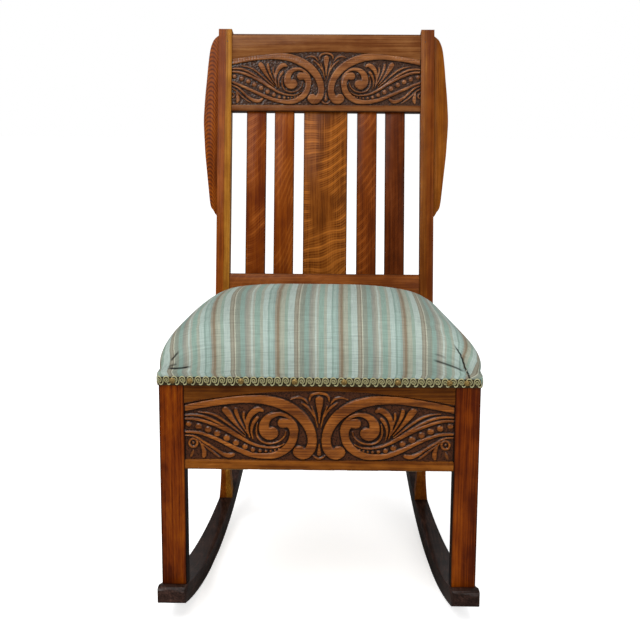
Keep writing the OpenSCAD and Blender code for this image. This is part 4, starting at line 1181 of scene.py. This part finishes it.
# A curl that sweeps down and under the next one, so that a row of them scallops both edges:
# along the braid in pitches, up in half heights
CURL = [(0.02, -0.1), (-0.11, 0.04), (-0.08, 0.34), (0.07, 0.42), (0.2, 0.2), (0.17, -0.2),
        (0.0, -0.42), (-0.2, -0.34), (-0.33, 0.05), (-0.29, 0.58), (-0.08, 0.96), (0.16, 0.96),
        (0.35, 0.6), (0.41, 0.0), (0.46, -0.56), (0.6, -0.94), (0.78, -0.98), (0.89, -0.7)]


def scroll_motif(settings):
    """One scroll of the braid as a flat cord, along X, up Z and standing out in Y."""
    tall = settings.height / 2 - settings.cord / 2
    line = between(np.array(CURL) * [settings.pitch, tall], 0, 2)
    points = []
    half = settings.cord / 2
    for k, p in enumerate(line):
        way = line[min(k + 1, len(line) - 1)] - line[max(k - 1, 0)]
        side = np.array([-way[1], way[0]]) / np.linalg.norm(way)
        # The cord's tail lies under the next curl
        out = settings.depth * (0.75 - 0.35 * k / (len(line) - 1))
        for across, rise in ((-1, 0.0), (-0.55, 0.8), (0.55, 0.8), (1, 0.0)):
            q = p + side * across * half
            points.append((q[0], out + rise * half, q[1]))
    mesh = closed(mesh_from("scroll_motif", points, bar_faces(len(line))))
    return bpy.data.objects.new("scroll_motif", mesh)


def braid_tree():
    """Scrolls set in a row and bent along a path, standing out on its left."""
    tree, given, out = geometry_tree("Scroll braid", [
        ("Motif", "Object"), ("Pitch", "Float"), ("Finish", "Material")])
    path, motif, pitch, finish = given
    curve = value(tree, "GeometryNodeMeshToCurve", Mesh=path)
    long = value(tree, "GeometryNodeCurveLength", Curve=curve)
    # A whole number of scrolls, with room for the first one's curl and the last one's tail
    count = (long / pitch - 0.25).math("ROUND")
    pitch = long / (count + 0.25)
    row = value(tree, "GeometryNodeMeshLine", Count=count, Start_Location=joined(tree, X=pitch * 0.35),
                Offset=joined(tree, X=pitch))
    curl = Value(add(tree, "GeometryNodeObjectInfo", Object=motif), "Geometry")
    many = value(tree, "GeometryNodeInstanceOnPoints", Points=row, Instance=curl)
    real = value(tree, "GeometryNodeRealizeInstances", Geometry=many)
    x, y, z = parts(value(tree, "GeometryNodeInputPosition"))
    spot = add(tree, "GeometryNodeSampleCurve", {"mode": "LENGTH"}, Curves=curve, Length=x)

    def vectors(operation, a, **rest):
        return value(tree, "ShaderNodeVectorMath", {"operation": operation}, input_0=a, **rest)

    left = vectors("CROSS_PRODUCT", (0, 0, 1), input_1=Value(spot, "Tangent"))
    there = vectors("ADD", vectors("SCALE", left, Scale=y), input_1=Value(spot, "Position"))
    there = vectors("ADD", there, input_1=joined(tree, Z=z))
    end_tree(out, value(tree, "GeometryNodeSetPosition", Geometry=real, Position=there), finish)
    return tree


def braid_paths(stand):
    """The braid's two runs, stand mm out from the rails: round the front, and at the back."""
    end_y = SEAT_DEPTH / MM - 1.5
    half = FRONT_HALF / MM + stand
    bend = 5.0
    right = [(side_out(end_y * MM) / MM + stand, end_y), (half, LEG_W / MM)]
    for angle in np.linspace(0, math.pi / 2, 6):
        right.append((half - bend + bend * math.cos(angle), -stand + bend - bend * math.sin(angle)))
    front = right + [(-x, y) for x, y in reversed(right)]
    post, back = POST_IN / MM - 1.5, (SEAT_DEPTH + POST_D) / MM + stand
    return [front, [(-post, back), (post, back)]]


def make_braid(settings, cord_material, ground_material):
    middle = HEM_Z + settings.height / 2 / MM
    motif = scroll_motif(settings)
    bpy.context.scene.collection.objects.link(motif)
    tree = braid_tree()
    for path, name in zip(braid_paths(2.1), ("scroll_braid", "scroll_braid_back")):
        spots = to_frame([(x, y, middle) for x, y in path])
        mesh = grown(tree, spots, [(k, k + 1) for k in range(len(path) - 1)],
                     {"Motif": motif, "Pitch": settings.pitch, "Finish": cord_material}, name)
        place(mesh, name, cord_material, "chair", "green_braid", ("gimp_braid",))
    old = motif.data
    bpy.data.objects.remove(motif)
    bpy.data.meshes.remove(old)
    # The woven ground that the scrolls are sewn to
    points, faces, cloth = [], [], []
    foot, head = HEM_Z - 0.4, HEM_Z + settings.height / MM - 1.6
    for low, high in zip(braid_paths(1.9), braid_paths(2.4)):
        faces += bar_faces(len(low), len(points))
        run = 0.0
        for k, (p, q) in enumerate(zip(low, high)):
            run += math.dist(q, high[max(k - 1, 0)])
            for spot, z in ((p, foot), (q, foot), (q, head), (p, head)):
                points.append((*spot, z))
                cloth.append((run * MM, z * MM, 0))
    mesh = closed(mesh_from("braid_ground", to_frame(points), faces))
    set_attribute(mesh, "cloth", cloth)
    place(mesh, "braid_ground", ground_material, "chair", "green_braid", ("gimp_braid",))


# ---------------------------------------------------------------- cloth and metal finishes
# One repeat of the stripes, as shares of its width from the left edge of the brown one
STRIPES = [(0.0, "#7e715d"), (0.036, "#8c8c7a"), (0.058, "#979b8b"), (0.12, "#87998c"),
           (0.168, "#a0aea6"), (0.268, "#7f7d6e"), (0.282, "#8c8979"), (0.32, "#7b7464"),
           (0.334, "#a6a897"), (0.352, "#82887b"), (0.385, "#7d8578"), (0.428, "#7e948a"),
           (0.5, "#81877d"), (0.525, "#8a8a7e"), (0.56, "#94978a"), (0.59, "#a5b0a6"),
           (0.622, "#969c90"), (0.655, "#82998d"), (0.735, "#959b8d"), (0.782, "#a0b0a8"),
           (0.857, "#80958c"), (0.885, "#91a59c"), (0.935, "#869890"), (0.968, "#8a8575")]


def woven(x, y, pitch_x, pitch_y):
    """Height of a plain weave: threads that pass over and under, pitches in metres."""
    return wave(x, pitch_x) * wave(y, pitch_y) * 0.5 + 0.5


def striped_satin(settings):
    # Cotton and rayon satin with woven stripes: a soft sheen along fine warp ribs, with
    # slubs a few mm long. Its threads lie 0.4 mm apart and are drawn 1.3 mm so that they show.
    material, tree, shader = new_material("Woven striped satin", Sheen_Weight=0.06, Sheen_Roughness=0.4,
                                          Specular_IOR_Level=0.15)
    # The third value of the attribute cloth is the distance to a crease, and fold holds its
    # strength and the same two for the other set of creases
    cloth = attribute(tree, "cloth")
    x, y, away = parts(cloth)
    x = x + (settings.first_stripe - 0.00035) + noise(cloth, (40.0, 260.0, 1.0), 1.0) * 0.0007
    base = ramp((x / settings.repeat).math("FRACT"), STRIPES, smooth=False)
    warp = noise(cloth, (900.0, 30.0, 1.0))
    weft = noise(cloth, (34.0, 520.0, 1.0), 3.0)
    worn = noise(cloth, (9.0, 7.0, 1.0))
    # Thicker weft threads show as short dark lines
    slub = ramp(noise(cloth, (26.0, 330.0, 1.0), 1.0), [(0.3, 0.0), (0.42, 1.0)])
    shade = warp * 0.5 + weft * 0.55 + slub * 0.1 + worn * 0.24 + 0.16
    # The bottoms of the creases are darkened: painted shadow, with dust
    strength, other_away, other_strength = parts(attribute(tree, "fold"))
    for far, strong in ((away, strength), (other_away, other_strength)):
        fold = ranged(far.math("ABSOLUTE"), 0.0007, 0.0022, -0.93, 0.0) * strong.math("MINIMUM", 1.0)
        shade = shade * (fold + 1.0)
    fill(shader, Base_Color=shaded(base, shade), Roughness=weft * 0.2 + 0.52)
    bumped(shader, weft * 0.9 + woven(x, y, 0.0026, 0.0022) * 0.35, 0.0004, 0.7)
    return material


def coarse_weave(name, source, light, dark, pitch, depth=0.0006):
    """Plain-woven jute: thick uneven threads with dark gaps, dull and hairy. source is the
    attribute with the place on the cloth."""
    material, tree, shader = new_material(name, Roughness=0.9, Specular_IOR_Level=0.15, Sheen_Weight=0.1)
    cloth = attribute(tree, source)
    x, y = parts(cloth)[:2]
    height = woven(x, y, pitch * 2, pitch * 2)
    thread = height * 0.6 + noise(cloth, 300.0, 3.0) * 0.4
    fill(shader, Base_Color=mixed(ramp(thread, [(0.2, 0.0), (0.75, 1.0)]), dark, light))
    bumped(shader, height, depth)
    return material


def wadding():
    # Cotton wadding over horsehair: matt, off-white and fluffy
    material, tree, shader = new_material("Cotton wadding", Roughness=1.0, Specular_IOR_Level=0.05,
                                          Sheen_Weight=0.3)
    where = object_place(tree)
    fluff = noise(where, 240.0, 5.0, 0.7) * 0.6 + noise(where, 30.0) * 0.4
    fill(shader, Base_Color=mixed(fluff, "#b5a684", "#ece2c8"))
    bumped(shader, fluff, 0.003)
    return material


def stitched_hessian():
    # Hessian stitched over hair: threads 2 mm apart, drawn in the round
    material, tree, shader = new_material("Stitched hessian", Roughness=0.92, Specular_IOR_Level=0.15)
    where = object_place(tree)
    x, y, z = parts(where)
    thread = woven(x + y, z, 0.004, 0.004) * 0.5 + noise(where, 500.0, 4.0) * 0.5
    fill(shader, Base_Color=mixed(thread, "#6d5128", "#b2905c"))
    bumped(shader, thread, 0.001)
    return material


def braid_cord(settings):
    # Rayon gimp cord: sage green with a cream edge where it stands out, silky and ribbed
    material, tree, shader = new_material("Scroll braid cord", Sheen_Weight=0.25, Sheen_Roughness=0.35,
                                          Specular_IOR_Level=0.35, Roughness=0.55)
    where = object_place(tree)
    thread = noise(where, 900.0)
    middle = (HEM_Z + settings.height / 2 / MM) * MM
    off = (parts(where)[2] - middle).math("ABSOLUTE")
    edge = ranged(off, settings.height * 0.24, settings.height * 0.46)
    dyed = mixed(edge, (*settings.cord_colour, 1.0), (*settings.edge_colour, 1.0))
    fill(shader, Base_Color=shaded(dyed, thread * 0.7 + 0.62))
    bumped(shader, thread, 0.0004)
    return material


def braid_ground_cloth():
    # The braid's woven ground: olive ribs that show between the scrolls, made near black as painted shade
    # between them
    material, tree, shader = new_material("Braid ground", Roughness=0.85, Specular_IOR_Level=0.2)
    cloth = attribute(tree, "cloth")
    thread = wave(parts(cloth)[0], 0.0014) * 0.25 + noise(cloth, (700.0, 300.0, 1.0))
    fill(shader, Base_Color=mixed(ramp(thread, [(0.2, 0.0), (0.8, 1.0)]), "#1a1208", "#3b3119"))
    bumped(shader, thread, 0.0004)
    return material


def aged_metal(name, bright, dull, roughness, scale=260.0, metallic=1.0):
    """Metal with tarnish in its hollows, by noise a few tenths of a mm across."""
    material, tree, shader = new_material(name, Metallic=metallic)
    spots = noise(object_place(tree), scale, 4.0, 0.6)
    tarnish = ramp(spots, [(0.42, 0.0), (0.68, 1.0)])
    fill(shader, Base_Color=mixed(tarnish, bright, dull), Roughness=tarnish * 0.3 + roughness)
    bumped(shader, spots, 0.0001, 0.5)
    return material


def refinish(node, material):
    """Gives a CAD node that keeps its shape a better finish."""
    piece = NODES[node]
    piece.data.materials.clear()
    piece.data.materials.append(material)


# ---------------------------------------------------------------- settings
def tone(name, about, code):
    return bpy.props.FloatVectorProperty(name=name, description=about, subtype="COLOR", size=3,
                                         min=0.0, max=1.0, default=colour(code)[:3])


def length(name, about, value, low=0.0, high=1.0):
    return bpy.props.FloatProperty(name=name, description=about, default=value, min=low, max=high,
                                   unit="LENGTH", precision=4)


def share(name, about, value, low=0.0, high=1.0):
    return bpy.props.FloatProperty(name=name, description=about, default=value, min=low, max=high,
                                   subtype="FACTOR")


def power(name, about, value):
    return bpy.props.FloatProperty(name=name, description=about, default=value, min=0, unit="POWER")


class RockerOak(bpy.types.PropertyGroup):
    arris: length("Arris", "Rounding of the boards' edges", 0.0012, 0.0, 0.003)
    polish: share("Polish", "Weight of the shellac coat on the oak", 0.04)
    carving_depth: length("Carving depth", "How far the carved ground is sunk", 0.0035, 0.001, 0.005)


class RockerSeat(bpy.types.PropertyGroup):
    start_low: length("Start below", "How far below its final place the cover's top starts", 0.001, 0, 0.01)
    swell: length("Swell", "Farthest that pressure may move the cloth", 0.002, 0, 0.02)
    repeat: length("Repeat", "Width of one repeat of the stripes", 0.1007, 0.02, 0.3)
    first_stripe: length("First stripe", "From the middle to the brown stripe at its left", 0.067, 0, 0.3)


class RockerSprings(bpy.types.PropertyGroup):
    turns: bpy.props.FloatProperty(name="Turns", description="Turns of each spring", default=5.5,
                                   min=3, max=9)
    width: length("Width", "Across a spring's end turns", 0.084, 0.05, 0.1)
    waist: length("Waist", "Across a spring's middle turn", 0.054, 0.03, 0.08)
    wire: length("Wire", "Thickness of the spring wire", 0.0036, 0.002, 0.005)


class RockerBraid(bpy.types.PropertyGroup):
    pitch: length("Pitch", "From one scroll to the next", 0.0126, 0.004, 0.02)
    height: length("Height", "Height of the braid", 0.015, 0.008, 0.03)
    cord: length("Cord", "Width of the scrolls' cord", 0.0019, 0.001, 0.004)
    depth: length("Depth", "How far the scrolls stand out", 0.001, 0.0005, 0.004)
    cord_colour: tone("Cord colour", "Sage green of the scrolls", "#918b5e")
    edge_colour: tone("Edge colour", "Cream green of the scalloped edges", "#ada97e")


class RockerStage(bpy.types.PropertyGroup):
    key: power("Key", "Power of the large soft lamp", 76.0)
    fill: power("Fill", "Power of the fill lamp", 24.0)
    top: power("Top", "Power of the lamp overhead", 22.0)
    sky: share("Sky", "Strength of the white surroundings", 0.52, 0.0, 2.0)
    mirrored: share("Mirrored sky", "How bright the surroundings look in polish and metal", 0.2)


# ---------------------------------------------------------------- boards
# node: (along, across, light, mid and dark tone, (fleck, slant, rings, cathedral, streak), shift)
LEGS = {
    "front_leg_left": (UP, ACROSS, "#8c4806 #6b2c04 #451704", (0.08, 0.9, 0.05, 0.3, 0.9), 0.31),
    "front_leg_right": (UP, -ACROSS, "#8a4206 #682b04 #441604", (0.05, 0.5, 0.08, 0.0, 0.9), 1.7),
}
FRAME = {
    "side_rail_left": (BACKWARD, UP, "#8a4a1e #6c3512 #4a2009", (0.3, 0.6, 0.1, 0.3, 0.35), 2.3),
    "side_rail_right": (BACKWARD, UP, "#8a4a1e #6c3512 #4a2009", (0.3, 0.6, 0.1, 0.2, 0.35), 3.9),
    "back_seat_rail": (ACROSS, UP, "#85481e #683412 #471f09", (0.4, 0.6, 0.1, 0.2, 0.35), 5.2),
    "front_apron": (ACROSS, UP, "#9c6026 #7a4411 #532808", (0.06, 0.8, 0.1, 0.1, 0.5), 6.6),
}
POSTS = {
    "back_post_left": (UP_RAKE, -ACROSS, "#b6823c #9a661f #77460e", (0.05, 0.5, 0.12, 0.0, 0.6), 7.7),
    "back_post_right": (UP_RAKE, ACROSS, "#8c561c #733e0e #5a2b05", (0.06, 0.5, 0.08, 0.0, 0.5), 8.8),
    "post_wing_left": (UP_RAKE, ACROSS, "#8e4a08 #763505 #4f2004", (0.05, 0.5, 0.5, 0.9, 0.25), 9.6),
    "post_wing_right": (UP_RAKE, ACROSS, "#8b4f19 #77410a #612f05", (0.1, 0.8, 0.15, 0.0, 0.45), 10.9),
}
BACK_PANEL = {
    "crest_rail": (ACROSS, UP_RAKE, "#8e6138 #754824 #5b3012", (0.05, 1.0, 0.08, 0.1, 0.15), 12.1),
    "lower_back_rail": (ACROSS, UP_RAKE, "#97582a #804518 #602d0a", (0.15, 0.9, 0.06, 0.1, 0.4), 13.3),
    "slat_outer_left": (UP_RAKE, ACROSS, "#894919 #6f3104 #551f04", (0.6, 0.9, 0.05, 0.0, 0.35), 14.2),
    "slat_inner_left": (UP_RAKE, ACROSS, "#96541d #783704 #5f2704", (0.5, 2.2, 0.06, 0.0, 0.35), 15.5),
    "centre_splat": (UP_RAKE, ACROSS, "#95571e #733c0b #532704", (0.75, 0.42, 0.05, 0.1, 0.4), 16.4),
    "slat_inner_right": (UP_RAKE, ACROSS, "#864719 #692e04 #502004", (0.6, 1.0, 0.05, 0.0, 0.35), 17.9),
    "slat_outer_right": (UP_RAKE, ACROSS, "#723b1a #552304 #3e1704", (0.12, 0.9, 0.06, 0.0, 0.4), 18.8),
}
BLOCKS = [f"corner_block_{end}_{side}" for end in ("front", "back") for side in ("left", "right")]


def oak_boards(table, settings, edges=None):
    for node, (along, across, tones, figure, shift) in table.items():
        side = np.array(across, float) @ points_of(NODES[node].data).T
        half = 0.0 if "post" in node else (side.max() - side.min()) / 2
        material = oak("Quartered oak " + node.replace("_", " "), *tones.split(), *figure,
                       coat=settings.polish, edge=(edges or {}).get(node), half=half)
        board(node, along, across, material, shift, edge=settings.arris / MM)


CREST_FOOT = 369.5       # of the crest rail, up the rake in mm
PANEL_SET_BACK = 2       # of the back panel's face behind the posts'


def on_rake(points):
    """Panel millimetres (across, up the rake, out of it) to the frame."""
    p = points * MM
    start = np.array([0, RAKE_Y, RAKE_Z])
    return (start + p[:, 0:1] * np.array(ACROSS) + p[:, 1:2] * np.array(UP_RAKE)
            + p[:, 2:3] * np.array(OUT_OF_RAKE))


# ---------------------------------------------------------------- operators
class MakeRunners(bpy.types.Operator):
    """Two bent runners, stained dark and polished"""
    bl_idname = "rocker.runners"
    bl_label = "Runners"

    def execute(self, context):
        # Oak stained almost black under shellac: the grain shows as faint lines in a gloss
        dark = oak("Dark stained oak", "#5b4038", "#33221c", "#1a100c", fleck=0.08, streak=0.12, coat=0.25)
        for node, shift in (("runner_left", 20.1), ("runner_right", 21.4)):
            board(node, BACKWARD, UP, dark, shift, edge=1.6, slot="dark_stained_oak")
        return {"FINISHED"}


class MakeLegs(bpy.types.Operator):
    """The two front legs"""
    bl_idname = "rocker.legs"
    bl_label = "Front legs"

    def execute(self, context):
        # Their inner faces are darkened with painted shade
        inner = ("#5c4a40", 0.0208, 0.0008)
        oak_boards(LEGS, context.scene.rocker_oak, {"front_leg_left": inner, "front_leg_right": inner})
        return {"FINISHED"}


class MakeSeatFrame(bpy.types.Operator):
    """Apron, side and back rails, corner blocks and their screws"""
    bl_idname = "rocker.seat_frame"
    bl_label = "Seat frame"

    def execute(self, context):
        # The apron is darker towards its top: painted shadow under the braid and the seat
        oak_boards(FRAME, context.scene.rocker_oak, {"front_apron": ("#b5b094", 0.035, 0.02)})
        # Plain sawn oak left unpolished inside the seat: paler, dry and open in the grain
        plain = oak("Plain sawn oak", "#c19a66", "#a5794a", "#7c5530", fleck=0.1, cathedral=0.3,
                    streak=0.3, coat=0.0)
        for k, node in enumerate(BLOCKS):
            board(node, ACROSS, UP, plain, 30.0 + k, edge=0.8, slot="plain_oak")
        # Steel blued by heat and gone dull: grey-blue with brown spots
        refinish("block_screws", aged_metal("Blued steel screws", "#6a6f78", "#3c332c", 0.42))
        return {"FINISHED"}


class MakePosts(bpy.types.Operator):
    """Back posts with their shaped wings"""
    bl_idname = "rocker.posts"
    bl_label = "Back posts"

    def execute(self, context):
        # Painted light and shade: part of each post's face is darkened by a second tone, leaving the rest a
        # lighter strip
        oak_boards(POSTS, context.scene.rocker_oak,
                   {"back_post_left": ("#d8a886", 0.0, 0.0012),
                    "back_post_right": ("#f6e4dc", 0.001, 0.0012)})
        return {"FINISHED"}


class MakeBackPanel(bpy.types.Operator):
    """Crest rail, lower rail, splat and slats, and the crest's brads"""
    bl_idname = "rocker.back_panel"
    bl_label = "Back panel"

    def execute(self, context):
        oak_boards(BACK_PANEL, context.scene.rocker_oak)
        refinish("crest_brads", aged_metal("Blued steel brads", "#5a5c60", "#3a2f28", 0.5))
        return {"FINISHED"}


class CarvePanels(bpy.types.Operator):
    """The carved fields of the crest rail and the apron"""
    bl_idname = "rocker.carving"
    bl_label = "Carving"

    def execute(self, context):
        deep = context.scene.rocker_oak.carving_depth / MM
        # Carved oak rubbed back on its crests: golden brown over a dark, punched ground,
        # with painted shade in its hollows and down its strokes' sides
        crest = oak("Carved oak crest", "#a47040", "#82502a", "#5a3014", fleck=0.1, streak=0.3,
                    coat=0.5, relief=("#170801", "#40291c"))
        apron = oak("Carved oak apron", "#ac6a2c", "#824816", "#552a0a", fleck=0.1, streak=0.12,
                    coat=0.5, relief=("#1a0a02", "#42220f"))

        def on_crest(p):
            return on_rake(p + np.array([0, CREST_FOOT, -PANEL_SET_BACK - deep]))

        def on_apron(p):
            out = np.empty_like(p)
            out[:, 0] = p[:, 0] * MM
            out[:, 1] = float(APRON_LOW[1]) + (deep - p[:, 2]) * MM
            out[:, 2] = RAIL_LOW + p[:, 1] * MM
            return out

        carved_panel("crest_carving", half=POST_IN / MM, low=12.0, top=116.5, rise=16.0, deep=deep,
                     pitch=0.8, droop=0.0, strokes=CREST_STROKES, to_world=on_crest,
                     material=crest, shift=12.1)
        carved_panel("apron_carving", half=(FRONT_HALF - LEG_W) / MM, low=15.0, top=130.5, rise=21.5,
                     deep=deep, pitch=0.95, droop=0.134, strokes=APRON_STROKES, to_world=on_apron,
                     material=apron, shift=6.6)
        return {"FINISHED"}


class MakeWebbing(bpy.types.Operator):
    """Jute webbing under the springs, with its tacks"""
    bl_idname = "rocker.webbing"
    bl_label = "Webbing"

    def execute(self, context):
        # Jute webbing: coarse basket weave, drawn at 2 mm
        make_webbing(coarse_weave("Jute webbing", "cloth", "#b79a68", "#6e5530", 0.002))
        refinish("webbing_tacks", aged_metal("Blued steel tacks", "#585b61", "#3a2f28", 0.5))
        return {"FINISHED"}


class MakeSprings(bpy.types.Operator):
    """Nine waisted coil springs"""
    bl_idname = "rocker.springs"
    bl_label = "Springs"

    def execute(self, context):
        # Copper-washed spring wire gone grey-brown: drawn smooth, satin
        wire = aged_metal("Drawn spring wire", "#8d8577", "#5a4a3c", 0.34)
        make_springs(context.scene.rocker_springs, wire)
        return {"FINISHED"}


class MakeStuffing(bpy.types.Operator):
    """Hessian over the springs, the stitched roll and the stuffed pad"""
    bl_idname = "rocker.stuffing"
    bl_label = "Stuffing"

    def execute(self, context):
        make_deck(coarse_weave("Hessian over springs", "board", "#a98a58", "#5f4826", 0.0018, 0.0004))
        make_roll(stitched_hessian())
        make_stuffing(wadding())
        return {"FINISHED"}


class MakeCover(bpy.types.Operator):
    """The striped cover, drawn down over the rails"""
    bl_idname = "rocker.cover"
    bl_label = "Striped cover"

    def execute(self, context):
        settings = context.scene.rocker_seat
        make_cover(settings, striped_satin(settings))
        return {"FINISHED"}


class MakeBraid(bpy.types.Operator):
    """Scroll braid and its nails"""
    bl_idname = "rocker.braid"
    bl_label = "Braid and nails"

    def execute(self, context):
        settings = context.scene.rocker_braid
        make_braid(settings, braid_cord(settings), braid_ground_cloth())
        # Stamped brass, worn coppery, with dark tarnish in spots
        refinish("gimp_nails", aged_metal("Antique brass nails", "#90763f", "#4a3519", 0.4, 420.0, 0.5))
        return {"FINISHED"}


class SetStage(bpy.types.Operator):
    """Floor, soft lamps, white surroundings and the camera"""
    bl_idname = "rocker.stage"
    bl_label = "Stage"

    def execute(self, context):
        scene = context.scene
        settings = scene.rocker_stage
        world = bpy.data.worlds.new("White surroundings")
        scene.world = world
        world.use_nodes = True
        tree = world.node_tree
        tree.nodes.clear()
        path = add(tree, "ShaderNodeLightPath")
        # White for the camera, dimmer as a source of light and dimmer still in a polished face
        lit = Value(path, "Is Glossy Ray") * (settings.mirrored - settings.sky) + settings.sky
        strength = lit.math("MAXIMUM", Value(path, "Is Camera Ray"))
        back = value(tree, "ShaderNodeBackground", Color="#ffffff", Strength=strength)
        add(tree, "ShaderNodeOutputWorld", Surface=back)
        floor = bpy.data.objects.new("floor", mesh_from("floor", [
            (-9, -6, 0), (9, -6, 0), (9, 16, 0), (-9, 16, 0)], [(0, 1, 2, 3)]))
        scene.collection.objects.link(floor)
        # Matt white paper: lit by the lamps, lifted a little for the camera alone, and grey in a
        # polished face, as the floor of a dim room would be
        paper, tree, shader = new_material("White paper", Roughness=1.0, Specular_IOR_Level=0.0)
        path = add(tree, "ShaderNodeLightPath")
        fill(shader, Base_Color=mixed(Value(path, "Is Glossy Ray"), "#f6f6f6", "#6c6c6c"),
             Emission_Color="#ffffff", Emission_Strength=Value(path, "Is Camera Ray") * 0.62)
        floor.data.materials.append(paper)
        for name, spot, aim, size, power in (
                ("key_lamp", (-1.3, -2.2, 3.1), (0, 0, 0.45), 2.2, settings.key),
                ("fill_lamp", (2.3, -2.6, 1.5), (0, 0, 0.5), 2.0, settings.fill),
                ("top_lamp", (0.1, -0.9, 2.9), (0, -0.15, 0.45), 1.8, settings.top)):
            light = bpy.data.lights.new(name, "AREA")
            light.shape = "SQUARE"
            light.size = size
            light.energy = power
            lamp = bpy.data.objects.new(name, light)
            lamp.location = spot
            lamp.rotation_euler = (Vector(aim) - Vector(spot)).to_track_quat("-Z", "Y").to_euler()
            scene.collection.objects.link(lamp)
        # The camera, as the straight edges of legs, posts and rails in the photo place it
        yaw, pitch, roll = (math.radians(v) for v in (1.05, 10.92, 0.28))
        ahead = Vector((-math.sin(yaw) * math.cos(pitch), math.cos(yaw) * math.cos(pitch),
                        -math.sin(pitch)))
        level = Vector((math.cos(yaw), math.sin(yaw), 0))
        upright = level.cross(ahead)
        right = math.cos(roll) * level + math.sin(roll) * upright
        up = right.cross(ahead)
        lens = bpy.data.cameras.new("camera")
        lens.sensor_width = 36
        lens.lens = 70.93
        camera = bpy.data.objects.new("camera", lens)
        turned = Matrix((right, up, -ahead)).transposed().to_4x4()
        turned.translation = (0.03588, -2.2839, 0.8778)
        camera.matrix_world = turned
        scene.collection.objects.link(camera)
        scene.camera = camera
        scene.view_settings.view_transform = "Standard"
        return {"FINISHED"}


STEPS = (MakeRunners, MakeLegs, MakeSeatFrame, MakePosts, MakeBackPanel, CarvePanels, MakeWebbing,
         MakeSprings, MakeStuffing, MakeCover, MakeBraid, SetStage)


class RockerPanel(bpy.types.Panel):
    """Lists the rocker's pieces"""
    bl_idname = "VIEW3D_PT_rocker"
    bl_label = "Carved oak rocker"
    bl_space_type = "VIEW_3D"
    bl_region_type = "UI"
    bl_category = "Rocker"

    def draw(self, context):
        for step in STEPS:
            self.layout.operator(step.bl_idname)


GROUPS = (("rocker_oak", RockerOak), ("rocker_seat", RockerSeat), ("rocker_springs", RockerSprings),
          ("rocker_braid", RockerBraid), ("rocker_stage", RockerStage))


def register():
    for name, group in GROUPS:
        bpy.utils.register_class(group)
        setattr(bpy.types.Scene, name, bpy.props.PointerProperty(type=group))
    for step in STEPS + (RockerPanel,):
        bpy.utils.register_class(step)


def unregister():
    for step in reversed(STEPS + (RockerPanel,)):
        bpy.utils.unregister_class(step)
    for name, group in reversed(GROUPS):
        delattr(bpy.types.Scene, name)
        bpy.utils.unregister_class(group)


def main():
    register()
    oak_figure()
    for step in STEPS:
        group, name = step.bl_idname.split(".")
        getattr(getattr(bpy.ops, group), name)()


if __name__ == "__main__":
    main()
